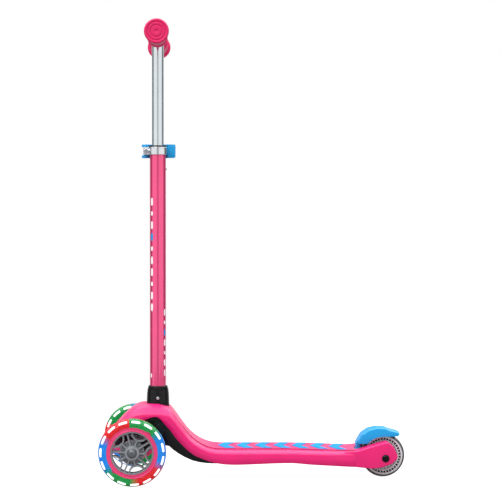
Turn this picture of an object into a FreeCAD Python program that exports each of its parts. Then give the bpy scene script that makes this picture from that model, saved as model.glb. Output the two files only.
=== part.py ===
# Three-wheel kick scooter for a small child: an S-shaped moulded deck, two lit front wheels on a
# lean-to-steer truck, one rear wheel under a foot brake, and a telescoping handlebar with a
# quick-release clamp. Frame: front is -X, rear is +X, +Y is across, +Z is up. The origin is the
# middle of the bounding box, on the ground. Millimetres.
import FreeCAD, Part
import math
import os

import Sketcher
from FreeCAD import Placement, Rotation, Vector

SIZES = [
    ("wheelbase", 458, "front axle to rear axle"),
    ("front_wheel_diameter", 121, "over the tread"),
    ("rear_wheel_diameter", 80, "over the tread"),
    ("front_track", 220, "between the middle planes of the front wheels"),
    ("front_tyre_width", 26, "at its widest"),
    ("rear_tyre_width", 26, "at its widest"),
    ("hub_width", 22, "across the two bearings of a wheel"),
    ("light_depth", 15, "tread to the ring core, in a front tyre"),
    ("core_depth", 7, "thickness of the ring core under the tyre"),
    ("axle_diameter", 8, "all three axles and the kingpin"),
    ("bearing_diameter", 22, "outside of a wheel bearing"),
    ("bearing_width", 7, "of one wheel bearing"),
    ("deck_width", 114, "across the standing area"),
    ("panel_width", 78, "across the flat top between the shoulders"),
    ("deck_height", 57, "top of the standing area above the ground"),
    ("deck_wall", 3, "of the moulded shell"),
    ("hump_rise", 75.5, "front axle to the crown of the hood"),
    ("fork_gap", 34, "between the arms that hold the rear wheel"),
    ("fork_width", 96, "across the arms"),
    ("column_setback", 44, "column axis behind the front axle"),
    ("column_diameter", 30, "outer tube"),
    ("column_wall", 1.5, "outer tube"),
    ("column_top", 606, "mouth of the outer tube above the ground"),
    ("upper_diameter", 22, "telescoping tube"),
    ("upper_wall", 1.5, "telescoping tube"),
    ("upper_foot", 530, "lower end of the telescoping tube above the ground"),
    ("hole_pitch", 50, "between two height holes"),
    ("hole_drop", 39.4, "column mouth to the uppermost height hole"),
    ("button_diameter", 6, "both snap buttons"),
    ("button_throw", 4.2, "travel of a snap button"),
    ("bar_height", 803, "crossbar axis above the ground"),
    ("bar_width", 286, "over the grips"),
    ("bar_diameter", 22, "crossbar"),
    ("bar_wall", 2, "crossbar"),
    ("grip_length", 105, "of one grip"),
    ("grip_diameter", 31, "at its middle"),
    ("flange_diameter", 44, "outer flange of a grip"),
    ("socket_height", 50, "column socket above its seat"),
    ("socket_diameter", 42.5, "column socket at its foot"),
    ("seat_rise", 57.5, "front axle to the seat of the column socket"),
    ("clamp_height", 14, "of the silver collar"),
    ("clamp_wall", 2.5, "of the silver collar"),
    ("lever_height", 25, "of the quick-release lever"),
    ("kingpin_rake", 50, "kingpin from vertical, in degrees"),
    ("kingpin_offset", 24, "front axle to the kingpin axis"),
    ("kingpin_setback", 14.7, "front axle to the middle of the barrel, along the kingpin"),
    ("barrel_length", 24, "of the truck's pivot barrel"),
    ("barrel_diameter", 25, "of the truck's pivot barrel"),
    ("arm_diameter", 20, "of the truck's arms"),
    ("pad_thickness", 1.2, "raised anti-slip pads"),
    ("pad_pitch", 34, "between two anti-slip pads"),
    ("brake_gap", 4.4, "rear tread to the brake pad at rest"),
    ("running_gap", 0.05, "radial clearance of a shaft that turns"),
    ("slide_gap", 0.1, "radial clearance of the telescope"),
    ("free_gap", 0.4, "between pieces that move past each other"),
]

doc = FreeCAD.newDocument("kick_scooter")
sheet = doc.addObject("Spreadsheet::Sheet", "sizes")
for row, (alias, value, meaning) in enumerate(SIZES, start=1):
    sheet.set(f"A{row}", alias)
    sheet.set(f"B{row}", str(value))
    sheet.setAlias(f"B{row}", alias)
    sheet.set(f"C{row}", meaning)
doc.recompute()


class Size:
    """A length that knows its number and the sheet expression that gives it."""

    def __init__(self, value, text):
        self.value, self.text = float(value), text

    def __float__(self):
        return self.value

    def __add__(self, other):
        return joined(self, "+", other, float(self) + float(other))

    def __sub__(self, other):
        return joined(self, "-", other, float(self) - float(other))

    def __mul__(self, other):
        return joined(self, "*", other, float(self) * float(other))

    def __truediv__(self, other):
        return joined(self, "/", other, float(self) / float(other))

    def __radd__(self, other):
        return as_size(other) + self

    def __rsub__(self, other):
        return as_size(other) - self

    def __rmul__(self, other):
        return as_size(other) * self

    def __neg__(self):
        return Size(-self.value, f"(0 - {self.text})")


def as_size(value):
    """A plain number as a Size; a Size as it is."""
    return value if isinstance(value, Size) else Size(value, f"({float(value)})")


def joined(left, sign, right, value):
    return Size(value, f"({as_size(left).text} {sign} {as_size(right).text})")


def cell(alias):
    """The named cell of the sheet as a Size."""
    return Size(getattr(sheet, alias), f"sizes.{alias}")


TURNS = {
    "x": Rotation(Vector(0, 1, 0), 90),
    "y": Rotation(Vector(1, 0, 0), -90),
    "z": Rotation(),
}
nodes = []


def bind(obj, prop, value):
    obj.setExpression(prop, as_size(value).text)


def place(obj, at, turn=Rotation()):
    """Puts an object at three sizes, turned, with the place tied to the sheet."""
    obj.Placement = Placement(Vector(*[float(value) for value in at]), turn)
    for letter, value in zip("xyz", at):
        bind(obj, f".Placement.Base.{letter}", value)
    return obj


def rod(radius, length, at, axis="z", angle=360, turn=None):
    """A cylinder from at, along one axis."""
    obj = doc.addObject("Part::Cylinder", "rod")
    bind(obj, "Radius", radius)
    bind(obj, "Height", length)
    obj.Angle = angle
    return place(obj, at, turn or TURNS[axis])


def block(low, high, turn=Rotation()):
    """A box between two corners."""
    obj = doc.addObject("Part::Box", "block")
    for prop, least, most in zip(("Length", "Width", "Height"), low, high):
        bind(obj, prop, as_size(most) - least)
    return place(obj, low, turn)


def cut(base, *tools):
    for tool in tools:
        obj = doc.addObject("Part::Cut", "cut")
        obj.Base, obj.Tool = base, tool
        base = obj
    return base


def fuse(*shapes):
    obj = doc.addObject("Part::MultiFuse", "fuse")
    obj.Shapes = list(shapes)
    obj.Refine = True
    return obj


def common(*shapes):
    obj = doc.addObject("Part::MultiCommon", "common")
    obj.Shapes = list(shapes)
    return obj


def group(*shapes):
    """Several separate solids as one object."""
    obj = doc.addObject("Part::Compound", "group")
    obj.Links = list(shapes)
    return obj


def ring(outer, inner, length, at, axis="z"):
    """A tube from at, along one axis."""
    return cut(rod(outer, length, at, axis), rod(inner, length, at, axis))


def outlined_body(outline):
    """A PartDesign body with a closed sketch in its XZ plane, each (across, up) corner a size."""
    body = doc.addObject("PartDesign::Body", "body")
    sketch = body.newObject("Sketcher::SketchObject", "outline")
    plane = [f for f in body.Origin.OriginFeatures if f.Role == "XZ_Plane"][0]
    sketch.AttachmentSupport = [(plane, "")]
    sketch.MapMode = "FlatFace"
    count = len(outline)
    corners = [Vector(float(across), float(up), 0) for across, up in outline]
    for i in range(count):
        sketch.addGeometry(Part.LineSegment(corners[i], corners[(i + 1) % count]))
    for i in range(count):
        sketch.addConstraint(Sketcher.Constraint("Coincident", i, 2, (i + 1) % count, 1))
    for i, corner in enumerate(outline):
        for kind, value in zip(("DistanceX", "DistanceY"), corner):
            where = sketch.addConstraint(
                Sketcher.Constraint(kind, -1, 1, i, 1, float(value))
            )
            bind(sketch, f"Constraints[{where}]", value)
    return body, sketch


def revolved(outline, at, axis="z"):
    """Turns an outline of (radius, height) corners once round an axis."""
    body, sketch = outlined_body(outline)
    turned = body.newObject("PartDesign::Revolution", "turned")
    turned.Profile = sketch
    turned.ReferenceAxis = (sketch, ["V_Axis"])
    turned.Angle = 360
    return place(body, at, TURNS[axis])


def slab(outline, width, middle=0):
    """An outline in the XZ plane, as thick as width across Y about middle."""
    body, sketch = outlined_body(outline)
    pad = body.newObject("PartDesign::Pad", "pad")
    pad.Profile = sketch
    pad.Midplane = True
    bind(pad, "Length", width)
    return place(body, (0, middle, 0))


def node(label, obj):
    """Names a finished sub-part."""
    obj.Label = label
    nodes.append(obj)
    return obj


def shape_node(label, shape):
    """A finished sub-part whose free-form shape is made by Part's own functions."""
    obj = doc.addObject("Part::Feature", label)
    obj.Shape = shape
    obj.Placement = Placement()
    return node(label, obj)


# ---- places that several pieces share ----
front_r = cell("front_wheel_diameter") / 2
rear_r = cell("rear_wheel_diameter") / 2
length = cell("wheelbase") + front_r + rear_r
front_x = front_r - length / 2
rear_x = length / 2 - rear_r
column_x = front_x + cell("column_setback")
deck_z = cell("deck_height")
hump_z = front_r + cell("hump_rise")
axle_r = cell("axle_diameter") / 2
bore_r = axle_r + cell("running_gap")
bearing_r = cell("bearing_diameter") / 2
bearing_w = cell("bearing_width")
hub_half = cell("hub_width") / 2
free = cell("free_gap")
column_r = cell("column_diameter") / 2
column_in = column_r - cell("column_wall")
upper_r = cell("upper_diameter") / 2
upper_in = upper_r - cell("upper_wall")
top_z = cell("column_top")
hole_z = top_z - cell("hole_drop")
seat_z = front_r + cell("seat_rise")
socket_r = cell("socket_diameter") / 2
button_r = cell("button_diameter") / 2
wall = cell("deck_wall")
fork_in = cell("fork_gap") / 2
fork_out = cell("fork_width") / 2
HEIGHT_HOLES = 4
SPOKES = 5
LIGHTS = 15
PADS = 7

# The kingpin's own frame: its origin is the middle of the truck's barrel, its Z is the kingpin
# axis (forwards and up), its X points rearwards and up.
rake = float(cell("kingpin_rake"))
lean_turn = Rotation(Vector(0, 1, 0), -rake)
up_x, up_z = -math.sin(math.radians(rake)), math.cos(math.radians(rake))
offset, setback = cell("kingpin_offset"), cell("kingpin_setback")
pivot_at = (
    front_x + offset * up_z - setback * up_x,
    0,
    front_r - offset * up_x - setback * up_z,
)
barrel_half = cell("barrel_length") / 2
barrel_r = cell("barrel_diameter") / 2
arm_r = cell("arm_diameter") / 2
EAR = 11.5
ear_start = barrel_half + 0.5
ear_end = ear_start + EAR


def leaned(obj):
    """Puts an object that was built in the kingpin's frame in its place."""
    return place(obj, pivot_at, lean_turn)


# ---- deck ----
# Stations along the deck: distance behind the column axis, crown, lower edge (as shares of the
# rise from the standing area to the hood's crown), half width, half width of the top panel, and
# how far the shoulder is below the crown.
rise = float(hump_z - deck_z)
half, panel = float(cell("deck_width")) / 2, float(cell("panel_width")) / 2
NECK = [
    (-80, 0.42, 0.32, 20, 6, 3),
    (-73, 0.57, 0.30, 31, 10, 6),
    (-62, 0.73, 0.34, 39, 15, 10),
    (-47, 0.89, 0.46, 44, 19, 13),
    (-33, 0.98, 0.59, 47, 22, 15),
    (-17, 1.00, 0.70, 48, 24, 16),
    (0, 1.00, 0.73, 48, 25, 16),
    (14, 0.955, 0.56, 48, 26, 14),
    (23, 0.90, 0.43, 48, 28, 13),
    (34, 0.72, 0.24, 48.5, 30, 12),
    (45, 0.55, 0.09, 49, 32, 11),
    (56, 0.375, -0.04, 50, 34, 10),
    (67, 0.25, -0.14, 51, 36, 9),
    (78, 0.16, -0.21, 52.5, 37, 8),
    (89, 0.095, -0.26, 54, 38, 7.5),
    (98, 0.045, -0.29, half - 1.5, panel, 7),
]
SKIRT = 24.5
BOARD_START, BOARD_SAG = 108, 2.5
x0, z0 = float(column_x), float(deck_z)
well_x = float(rear_x) - float(rear_r) - 12.5
stations = [
    (x0 + dx, z0 + crown * rise, z0 + low * rise, w, p, drop)
    for dx, crown, low, w, p, drop in NECK
]
stations += [
    (x0 + BOARD_START, z0, z0 - SKIRT - BOARD_SAG, half, panel, 7),
    ((x0 + BOARD_START + well_x) / 2, z0, z0 - SKIRT, half, panel, 7),
    (well_x - 35, z0, z0 - SKIRT - BOARD_SAG * 2, half - 1, panel, 7),
    (well_x, z0, z0 - SKIRT - BOARD_SAG * 3, float(fork_out) + 3, panel - 3, 6),
]


def section(station, inset, deeper):
    """The closed six-sided outline of the deck at one station, shrunk by inset."""
    x, crown, low, w, p, drop = station
    w, p, crown = w - inset, max(p - inset, 3), crown - inset
    points = [
        (-w, low - deeper), (-w, crown - drop), (-p, crown),
        (p, crown), (w, crown - drop), (w, low - deeper),
    ]
    wire = [Vector(x, y, z) for y, z in points]
    return Part.makePolygon(wire + wire[:1])


def deck_loft(chosen, inset=0.0, deeper=0.0):
    return Part.makeLoft([section(s, inset, deeper) for s in chosen], True, True)


def slice_x(obj_shape, low, high):
    return obj_shape.common(Part.makeBox(high - low, 300, 300, Vector(low, -150, -50)))


def upright(radius, low, high, x, y=0.0):
    return Part.makeCylinder(float(radius), high - low, Vector(x, y, low))


def across(radius, half_width, x, z):
    at = Vector(float(x), -half_width, float(z))
    return Part.makeCylinder(float(radius), 2 * half_width, at, Vector(0, 1, 0))


HINGE_BACK, HINGE_LOW, HINGE_PIN_R = 6.25, 7.5, 2.5
hinge_x, hinge_z = rear_x - rear_r - HINGE_BACK, deck_z - HINGE_LOW
SCREWS = [(x, y) for x in (92.0, 106.0) for y in (-28.0, 28.0)]
SPIGOT, BOSS_WALL = 20, 4


def make_deck():
    """The hollow moulded shell with its ribs, bosses, fork arms and bores."""
    thick = float(wall)
    outer = deck_loft(stations)
    front, back = stations[0][0] + 2 * thick, well_x - thick
    hollow = slice_x(deck_loft(stations, thick, 12), front, back)
    shell = outer.cut(hollow)
    ribs = [
        Part.makeBox(2.5, 2 * half, 12, Vector(x, -half, z0 - 14))
        for x in [x0 + BOARD_START + 10 + 45 * i for i in range(6)] if x < well_x - 8
    ]
    ribs += [
        Part.makeBox(well_x - x0 - BOARD_START, 2.5, 12, Vector(x0 + BOARD_START, y, z0 - 14))
        for y in (-20 - 1.25, 20 - 1.25)
    ]
    boss = upright(float(socket_r) + BOSS_WALL, float(seat_z) - SPIGOT + 2, float(hump_z), x0)
    pegs = [upright(4.5, z0 - 18, z0 + 12, x0 + x, y) for x, y in SCREWS]
    shell = shell.fuse([part.common(outer) for part in ribs + [boss] + pegs])
    for side in (-1, 1):
        shell = shell.fuse(make_arm(side))
    spigot_r = float(socket_r) - 3
    bores = [
        upright(float(socket_r) + 0.1, float(seat_z), 300, x0),
        upright(spigot_r + 0.1, float(seat_z) - 2 * SPIGOT, 300, x0),
        across(float(axle_r) + 0.1, float(fork_out) + 9, rear_x, rear_r),
        across(HINGE_PIN_R + 0.1, float(fork_in) + 12, hinge_x, hinge_z),
    ]
    bores += [upright(2.0, z0 - 40, z0 - 6, x0 + x, y) for x, y in SCREWS]
    return shell.cut(bores).removeSplitter()


def make_arm(side):
    """One fork arm: a rounded triangle from the end of the board to behind the axle."""
    x, z, r = float(rear_x), float(rear_r), float(rear_r)
    low, high = z0 - SKIRT - 3 * BOARD_SAG, z0 - 1
    outline = [
        (well_x - 9, low), (well_x - 9, high), (x - 0.72 * r, float(hinge_z) + 10.9),
        (x + 0.04 * r, z + 0.725 * r), (x + 0.2 * r, z + 0.69 * r),
        (x + 0.4 * r, z + 0.42 * r), (x + 0.57 * r, z + 0.04 * r), (x + 0.52 * r, z - 0.1 * r),
        (x + 0.3 * r, z - 0.22 * r), (x - 0.03 * r, z - 0.38 * r), (x - 0.5 * r, z - 0.47 * r),
    ]
    near = float(fork_in) if side > 0 else -float(fork_out)
    wire = [Vector(px, near, pz) for px, pz in outline]
    face = Part.Face(Part.makePolygon(wire + wire[:1]))
    return face.extrude(Vector(0, float(fork_out - fork_in), 0))


shape_node("deck_shell", make_deck())

PAD_REACH, PAD_STROKE, PAD_SWEEP = 26.0, 11.0, 13.0


def chevron(x):
    """One arrow-shaped pad that points forwards, standing on the panel."""
    tip, wing = x - PAD_SWEEP, x
    outline = [
        (tip, 0), (wing, -PAD_REACH), (wing + PAD_STROKE, -PAD_REACH),
        (tip + PAD_STROKE, 0), (wing + PAD_STROKE, PAD_REACH), (wing, PAD_REACH),
    ]
    wire = [Vector(px, py, z0) for px, py in outline]
    face = Part.Face(Part.makePolygon(wire + wire[:1]))
    return face.extrude(Vector(0, 0, float(cell("pad_thickness"))))


pad_pitch = float(cell("pad_pitch"))
pads = [x0 + BOARD_START + PAD_SWEEP + 2 + pad_pitch * i for i in range(PADS)]
shape_node("grip_pads", Part.makeCompound([chevron(x) for x in pads if x < well_x - 20]))


# ---- carrier under the neck ----
KEEL_EDGE = [
    (112.7, -0.325), (87.7, -0.32), (66, -0.24), (45, -0.127), (34, -0.03), (23, 0.06),
    (10.5, 0.10), (-8, 0.29), (-15, 0.48),
]
KEEL_GAP = 0.012
KEEL = KEEL_EDGE + [
    (dx, low - KEEL_GAP) for dx, crown, low, w, p, drop in NECK if -20 < dx < 95
]
KEEL_HALF, BACK_X, BACK_DEEP, BACK_HALF, SEAT = 46.0, 14.0, 14.0, 42.0, 20.0


def make_carrier():
    """A tray along the neck's underside, a leaning back wall and the kingpin's two ears."""
    wire = [Vector(x0 + dx, -KEEL_HALF, z0 + share * rise) for dx, share in KEEL]
    keel = Part.Face(Part.makePolygon(wire + wire[:1])).extrude(Vector(0, 2 * KEEL_HALF, 0))
    hollow = [
        v + Vector(0, 4, 3.5 if i < len(KEEL_EDGE) - 1 else 6) for i, v in enumerate(wire)
    ]
    inside = Part.Face(Part.makePolygon(hollow + hollow[:1]))
    keel = keel.cut(inside.extrude(Vector(0, 2 * KEEL_HALF - 8, 0)))
    start, end = float(ear_start), float(ear_end)
    back_size = (BACK_DEEP, 2 * BACK_HALF, end + 30)
    parts = [Part.makeBox(*back_size, Vector(BACK_X, -BACK_HALF, -end))]
    for low in (start, -end):
        parts.append(Part.makeCylinder(11, EAR, Vector(0, 0, low)))
        parts.append(Part.makeBox(BACK_X + 2, 22, EAR, Vector(0, -11, low)))
    parts += [
        Part.makeBox(BACK_X, SEAT, SEAT, Vector(2, y, 5)) for y in (-BACK_HALF, BACK_HALF - SEAT)
    ]
    leaning = parts[0].fuse(parts[1:])
    leaning.Placement = Placement(Vector(*[float(v) for v in pivot_at]), lean_turn)
    room = [
        Part.makeCylinder(float(barrel_r) + 0.8, 2 * start, Vector(0, 0, -start)),
        Part.makeCylinder(float(axle_r) + 0.1, 120, Vector(0, 0, -60)),
    ]
    for tool in room:
        tool.Placement = leaning.Placement
    room.append(upright(float(socket_r) - 2.7, float(seat_z) - SPIGOT - 4, 300, x0))
    room.append(upright(float(socket_r) + BOSS_WALL + 0.4, float(seat_z) - SPIGOT + 1.6, 300, x0))
    room += [upright(2.1, 0, z0 + 40, x0 + x, y) for x, y in SCREWS]
    room += [upright(5.0, z0 - 18.3, z0 + 40, x0 + x, y) for x, y in SCREWS]
    hood = slice_x(deck_loft(stations, float(wall) + 0.4, 12), stations[0][0] + 8, x0 + 130)
    below = Part.makeBox(60, 120, 60, Vector(x0 - 10, -60, 20))
    return keel.fuse(leaning.common(hood.fuse(below))).cut(room).removeSplitter()


shape_node("deck_carrier", make_carrier())
tray_z = z0 + KEEL_EDGE[0][1] * rise
screws = [
    upright(4.0, tray_z - 2, tray_z, x0 + x, y).fuse(upright(1.9, tray_z - 2, z0 - 8, x0 + x, y))
    for x, y in SCREWS
]
shape_node("deck_screws", Part.makeCompound(screws))


# ---- column ----
socket_top = seat_z + cell("socket_height")
socket_floor = seat_z - SPIGOT + 4
socket_button_z = seat_z + 28
column_fit = column_r + cell("running_gap")


def drilled(base, radius, reach, z, direction):
    """Cuts a cross hole from the column's axis outwards, along x or -y."""
    at = (column_x, 0, z) if direction == "x" else (column_x, -reach, z)
    return cut(base, rod(radius, reach, at, "x" if direction == "x" else "y"))


socket = revolved(
    [
        (0, seat_z - SPIGOT), (socket_r - 3.1, seat_z - SPIGOT), (socket_r - 3.1, seat_z),
        (socket_r, seat_z), (socket_r - 1, socket_top - 7), (column_r + 2, socket_top),
        (column_fit, socket_top), (column_fit, socket_floor), (0, socket_floor),
    ],
    (column_x, 0, 0),
)
node("column_socket", drilled(socket, button_r + 0.2, 30, socket_button_z, "-y"))

tube = ring(column_r, column_in, top_z - socket_floor, (column_x, 0, socket_floor))
for i in range(HEIGHT_HOLES):
    tube = drilled(tube, button_r + 0.2, 30, hole_z - cell("hole_pitch") * i, "x")
tube = drilled(tube, button_r + 0.1, 30, socket_button_z, "-y")
slit = block((column_x - column_r - 2, -1, top_z - 28), (column_x - 5, 1, top_z + 1))
node("outer_tube", cut(tube, slit))

bush_in = upper_r + cell("slide_gap")
node("tube_bushing", revolved(
    [(bush_in, top_z - 20), (column_in, top_z - 20), (column_in, top_z),
     (column_r + 0.6, top_z), (column_r + 0.6, top_z + 3), (bush_in, top_z + 3)],
    (column_x, 0, 0)))

# ---- quick-release clamp ----
clamp_h = cell("clamp_height")
clamp_z = top_z - clamp_h
band_r = column_r + cell("clamp_wall")
bolt_x, bolt_z = column_x - band_r - 4, top_z - clamp_h / 2
EAR_REACH, EAR_HALF, BOLT_R = 9.5, 5.0, 2.0
ears = block((column_x - band_r - EAR_REACH, -EAR_HALF, clamp_z),
             (column_x - column_r + 1, EAR_HALF, top_z))
band = fuse(rod(band_r, clamp_h, (column_x, 0, clamp_z)), ears)
gap = block((column_x - band_r - EAR_REACH - 1, -1, clamp_z - 1), (column_x, 1, top_z + 1))
bolt_hole = rod(BOLT_R + 0.1, 2 * EAR_HALF + 2, (bolt_x, -EAR_HALF - 1, bolt_z), "y")
inside = rod(column_r, clamp_h, (column_x, 0, clamp_z))
node("clamp_band", cut(band, inside, gap, bolt_hole))

NUT_R, NUT_DEEP, WASHER, LOBE_R, PIN_R = 4.5, 4.0, 3.0, 5.6, 2.5
pin_y = EAR_HALF + WASHER + LOBE_R + free
lever_z = bolt_z - cell("lever_height") / 2
bolt_start = -EAR_HALF - NUT_DEEP - 0.5
node("clamp_bolt", rod(BOLT_R, pin_y + 1 - bolt_start, (bolt_x, bolt_start, bolt_z), "y"))
nut = rod(NUT_R, NUT_DEEP, (bolt_x, -EAR_HALF - NUT_DEEP, bolt_z), "y")
node("clamp_nut", cut(nut, rod(BOLT_R, 9, (bolt_x, bolt_start - 2, bolt_z), "y")))
washer = block((bolt_x - 5, EAR_HALF, clamp_z + 1), (bolt_x + 3.5, EAR_HALF + WASHER, top_z - 1))
node("cam_washer", cut(washer, rod(BOLT_R + 0.1, 9, (bolt_x, EAR_HALF - 1, bolt_z), "y")))
pin = rod(PIN_R, cell("lever_height") - 2, (bolt_x, pin_y, lever_z + 1))
tap = rod(BOLT_R, pin_y + 1 - bolt_start, (bolt_x, bolt_start, bolt_z), "y")
node("clamp_pivot_pin", cut(pin, tap))

LEVER_IN, LEVER_THICK, LEVER_SWEEP, LEVER_END = 1.1, 4.5, 117, 24
lever_h = cell("lever_height")
grip_in = band_r + LEVER_IN
grip_out = grip_in + LEVER_THICK
swept = cut(
    rod(grip_out, lever_h, (column_x, 0, lever_z), angle=LEVER_SWEEP,
        turn=Rotation(Vector(0, 0, 1), LEVER_END)),
    rod(grip_in, lever_h, (column_x, 0, lever_z)),
)
FINGER = 15
finger = block((column_x + band_r - 1, 7, lever_z),
               (column_x + band_r + FINGER, 11.6, lever_z + lever_h))
lobe = rod(LOBE_R, lever_h, (bolt_x, pin_y, lever_z))
CAP_R = 8.5
caps = [
    rod(CAP_R, (lever_h - clamp_h) / 2 - free, (bolt_x, pin_y, z))
    for z in (lever_z, bolt_z + clamp_h / 2 + free)
]
lever = fuse(swept, finger, lobe, *caps)
slot = block((bolt_x - 20, -5, bolt_z - 2.5), (bolt_x + PIN_R + 0.3, pin_y + 20, bolt_z + 2.5))
pin_bore = rod(PIN_R + cell("running_gap"), lever_h, (bolt_x, pin_y, lever_z))
node("clamp_lever", cut(lever, slot, pin_bore))

# ---- telescoping handlebar ----
bar_z, bar_r = cell("bar_height"), cell("bar_diameter") / 2
foot_z = cell("upper_foot")
inner = ring(upper_r, upper_in, bar_z - foot_z, (column_x, 0, foot_z))
inner = drilled(inner, button_r + 0.1, 30, hole_z, "x")
bar_half = cell("bar_width") / 2
tube_half = bar_half - 3
coping = rod(bar_r, tube_half * 2, (column_x, -tube_half, bar_z), "y")
node("upper_tube", cut(inner, coping))
bar_in = bar_r - cell("bar_wall")
node("crossbar", ring(bar_r, bar_in, tube_half * 2, (column_x, -tube_half, bar_z), "y"))
PLUG_DEEP = 12
node("bar_plugs", group(
    rod(bar_in, PLUG_DEEP, (column_x, -tube_half, bar_z), "y"),
    rod(bar_in, PLUG_DEEP, (column_x, tube_half - PLUG_DEEP, bar_z), "y")))
grip_r, flange_r = cell("grip_diameter") / 2, cell("flange_diameter") / 2
grip_l = cell("grip_length")


def grip(label, side):
    """A rubber sleeve with a stop flange inboard and a closed, broad flange outboard."""
    outline = [
        (0, bar_half), (flange_r - 2, bar_half), (flange_r, bar_half - 2),
        (flange_r, bar_half - 5), (grip_r, bar_half - 9), (grip_r + 0.6, bar_half - grip_l / 2),
        (grip_r, bar_half - grip_l + 8), (grip_r + 3, bar_half - grip_l + 4),
        (grip_r + 3, bar_half - grip_l), (bar_r, bar_half - grip_l), (bar_r, tube_half),
        (0, tube_half),
    ]
    mirrored = [(radius, up if side > 0 else -up) for radius, up in outline]
    return node(label, revolved(mirrored, (column_x, 0, bar_z), "y"))


grip("grip_left", -1)
grip("grip_right", 1)
guide_r = column_in - cell("slide_gap")
node("guide_bush", ring(guide_r, upper_r, 18, (column_x, 0, foot_z)))

# ---- snap buttons ----
throw = cell("button_throw")
STEM_FLANGE, FLANGE_R, CLIP_WIDTH = 1.0, 4.6, 5


def snap_button(label, inner_wall, tip, z, direction):
    """A domed stem that stands out of the column, with a flange inside that stops it."""
    stem_start = inner_wall - 0.3
    pieces = [
        (FLANGE_R, STEM_FLANGE, stem_start - STEM_FLANGE),
        (button_r, tip - stem_start, stem_start),
    ]
    solids = []
    for radius, deep, start in pieces:
        if direction == "x":
            solids.append(rod(radius, deep, (column_x + start, 0, z), "x"))
        else:
            solids.append(rod(radius, deep, (column_x, -start - deep, z), "y"))
    return node(label, fuse(*solids))


snap_button("height_button", upper_in - 1.5, column_r + 1.5, hole_z, "x")
snap_button("socket_button", column_in - 0.7, socket_r + 0.6, socket_button_z, "-y")
clip_x = column_x + upper_in - 3.4
clip_back = column_x - upper_in + 0.9
node("height_clip", group(slab(
    [(clip_back, hole_z - 26), (clip_back + 0.8, hole_z - 26), (column_x - 3, hole_z - 34),
     (clip_x, hole_z - 5), (clip_x, hole_z + 5), (clip_x - 0.8, hole_z + 5),
     (clip_x - 0.8, hole_z - 5), (column_x - 3.4, hole_z - 35), (clip_back, hole_z - 27)],
    CLIP_WIDTH)))
spring_y = column_in - 2.5
node("socket_clip", block((column_x - 3, -spring_y, socket_button_z - 22),
                          (column_x + 3, -spring_y + 0.8, socket_button_z + 6)))

# ---- truck ----
arm_half = cell("front_track") / 2 - hub_half - 0.3
nut_reach = cell("front_track") / 2 + hub_half + 0.3
NECK_HALF, WING_HALF, WING_UP, BUSH_WALL = 13, 40, 10, 2.5
AXLE_END = 4


def truck_solid():
    """The cross arms round the axle, the pivot barrel and the neck between them."""
    barrel = fuse(
        rod(barrel_r, barrel_half * 2, (0, 0, -barrel_half)),
        block((-offset - 2, -NECK_HALF, -barrel_half), (-3, NECK_HALF, barrel_half)),
        block((-offset - 8, -WING_HALF, setback - WING_UP),
              (-offset + arm_r, WING_HALF, setback + WING_UP)),
    )
    bore = group(rod(axle_r + BUSH_WALL, barrel_half * 2, (0, 0, -barrel_half)))
    arms = rod(arm_r, arm_half * 2, (front_x, -arm_half, front_r), "y")
    axle_room = rod(axle_r, arm_half * 2, (front_x, -arm_half, front_r), "y")
    return cut(fuse(cut(leaned(barrel), leaned(bore)), arms), axle_room)


node("truck_body", truck_solid())


def axle_rod():
    """The front axle from end to end."""
    return rod(axle_r, (nut_reach + AXLE_END) * 2, (front_x, -nut_reach - AXLE_END, front_r), "y")


node("front_axle", axle_rod())


def dome_nut(side, start):
    """A flanged cap nut on the end of the front axle."""
    outline = [(0, 0), (9.5, 0), (9.5, 2), (6.4, 2.2), (5.6, 5.2), (3, 6), (0, 6)]
    turned = revolved([(r, (start + up) * side) for r, up in outline], (front_x, 0, front_r), "y")
    return cut(turned, axle_rod())


node("axle_nuts", group(dome_nut(-1, nut_reach), dome_nut(1, nut_reach)))
spacer_half = hub_half - bearing_w - 0.3
SPACER_STEP = 3.6
bushes = [
    ring(axle_r + BUSH_WALL, bore_r, barrel_half - 1, (0, 0, low)) for low in (-barrel_half, as_size(1))
]
node("pivot_bushes", leaned(group(*bushes)))
HEAD_R, HEAD_DEEP, KINGPIN_NUT = 7, 5, 6.5
pin_shank = rod(axle_r, ear_end * 2 + KINGPIN_NUT + 0.5, (0, 0, -ear_end))
pin_head = rod(HEAD_R, HEAD_DEEP, (0, 0, -ear_end - HEAD_DEEP))
node("kingpin", leaned(fuse(pin_shank, pin_head)))
node("kingpin_nut", leaned(ring(KINGPIN_NUT, axle_r, KINGPIN_NUT, (0, 0, ear_end))))
COIL_R, COIL_WIRE, COIL_Y = 6.5, 2.0, 30
for label, y in (("lean_spring_left", -COIL_Y), ("lean_spring_right", COIL_Y)):
    coil = ring(COIL_R, COIL_R - COIL_WIRE, offset - arm_r + 2,
                (-offset + arm_r, y, setback), "x")
    node(label, leaned(group(coil)))

# ---- wheels ----
core_out = front_r - cell("light_depth")
core_in = core_out - cell("core_depth")
tyre_half = cell("front_tyre_width") / 2
RIM, BOSS, WEB_HALF, RIB, RIB_HALF = 2.5, 2.2, 1.5, 2.4, 8.0
LIGHT_HALF, LIGHT_BAND, LIGHT_TIP, GUIDE_HALF = 5.0, 2.5, 2.6, 8.2
LOOP_R, RIB_ANGLE, LOOP_ANGLE = 14, 58, 22


def light_solid(middle_y):
    """A ring with fifteen light guides that reach out into the tyre."""
    pieces = [ring(core_out + LIGHT_BAND, core_out, LIGHT_HALF * 2,
                   (front_x, middle_y - LIGHT_HALF, front_r), "y")]
    for i in range(LIGHTS):
        turn = Rotation(Vector(0, 1, 0), 360 / LIGHTS * (i + 0.3))
        guide = block((-GUIDE_HALF, -LIGHT_HALF, core_out + 1),
                      (GUIDE_HALF, LIGHT_HALF, front_r - LIGHT_TIP))
        pieces.append(place(group(guide), (front_x, middle_y, front_r), turn))
    return fuse(*pieces)


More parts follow.
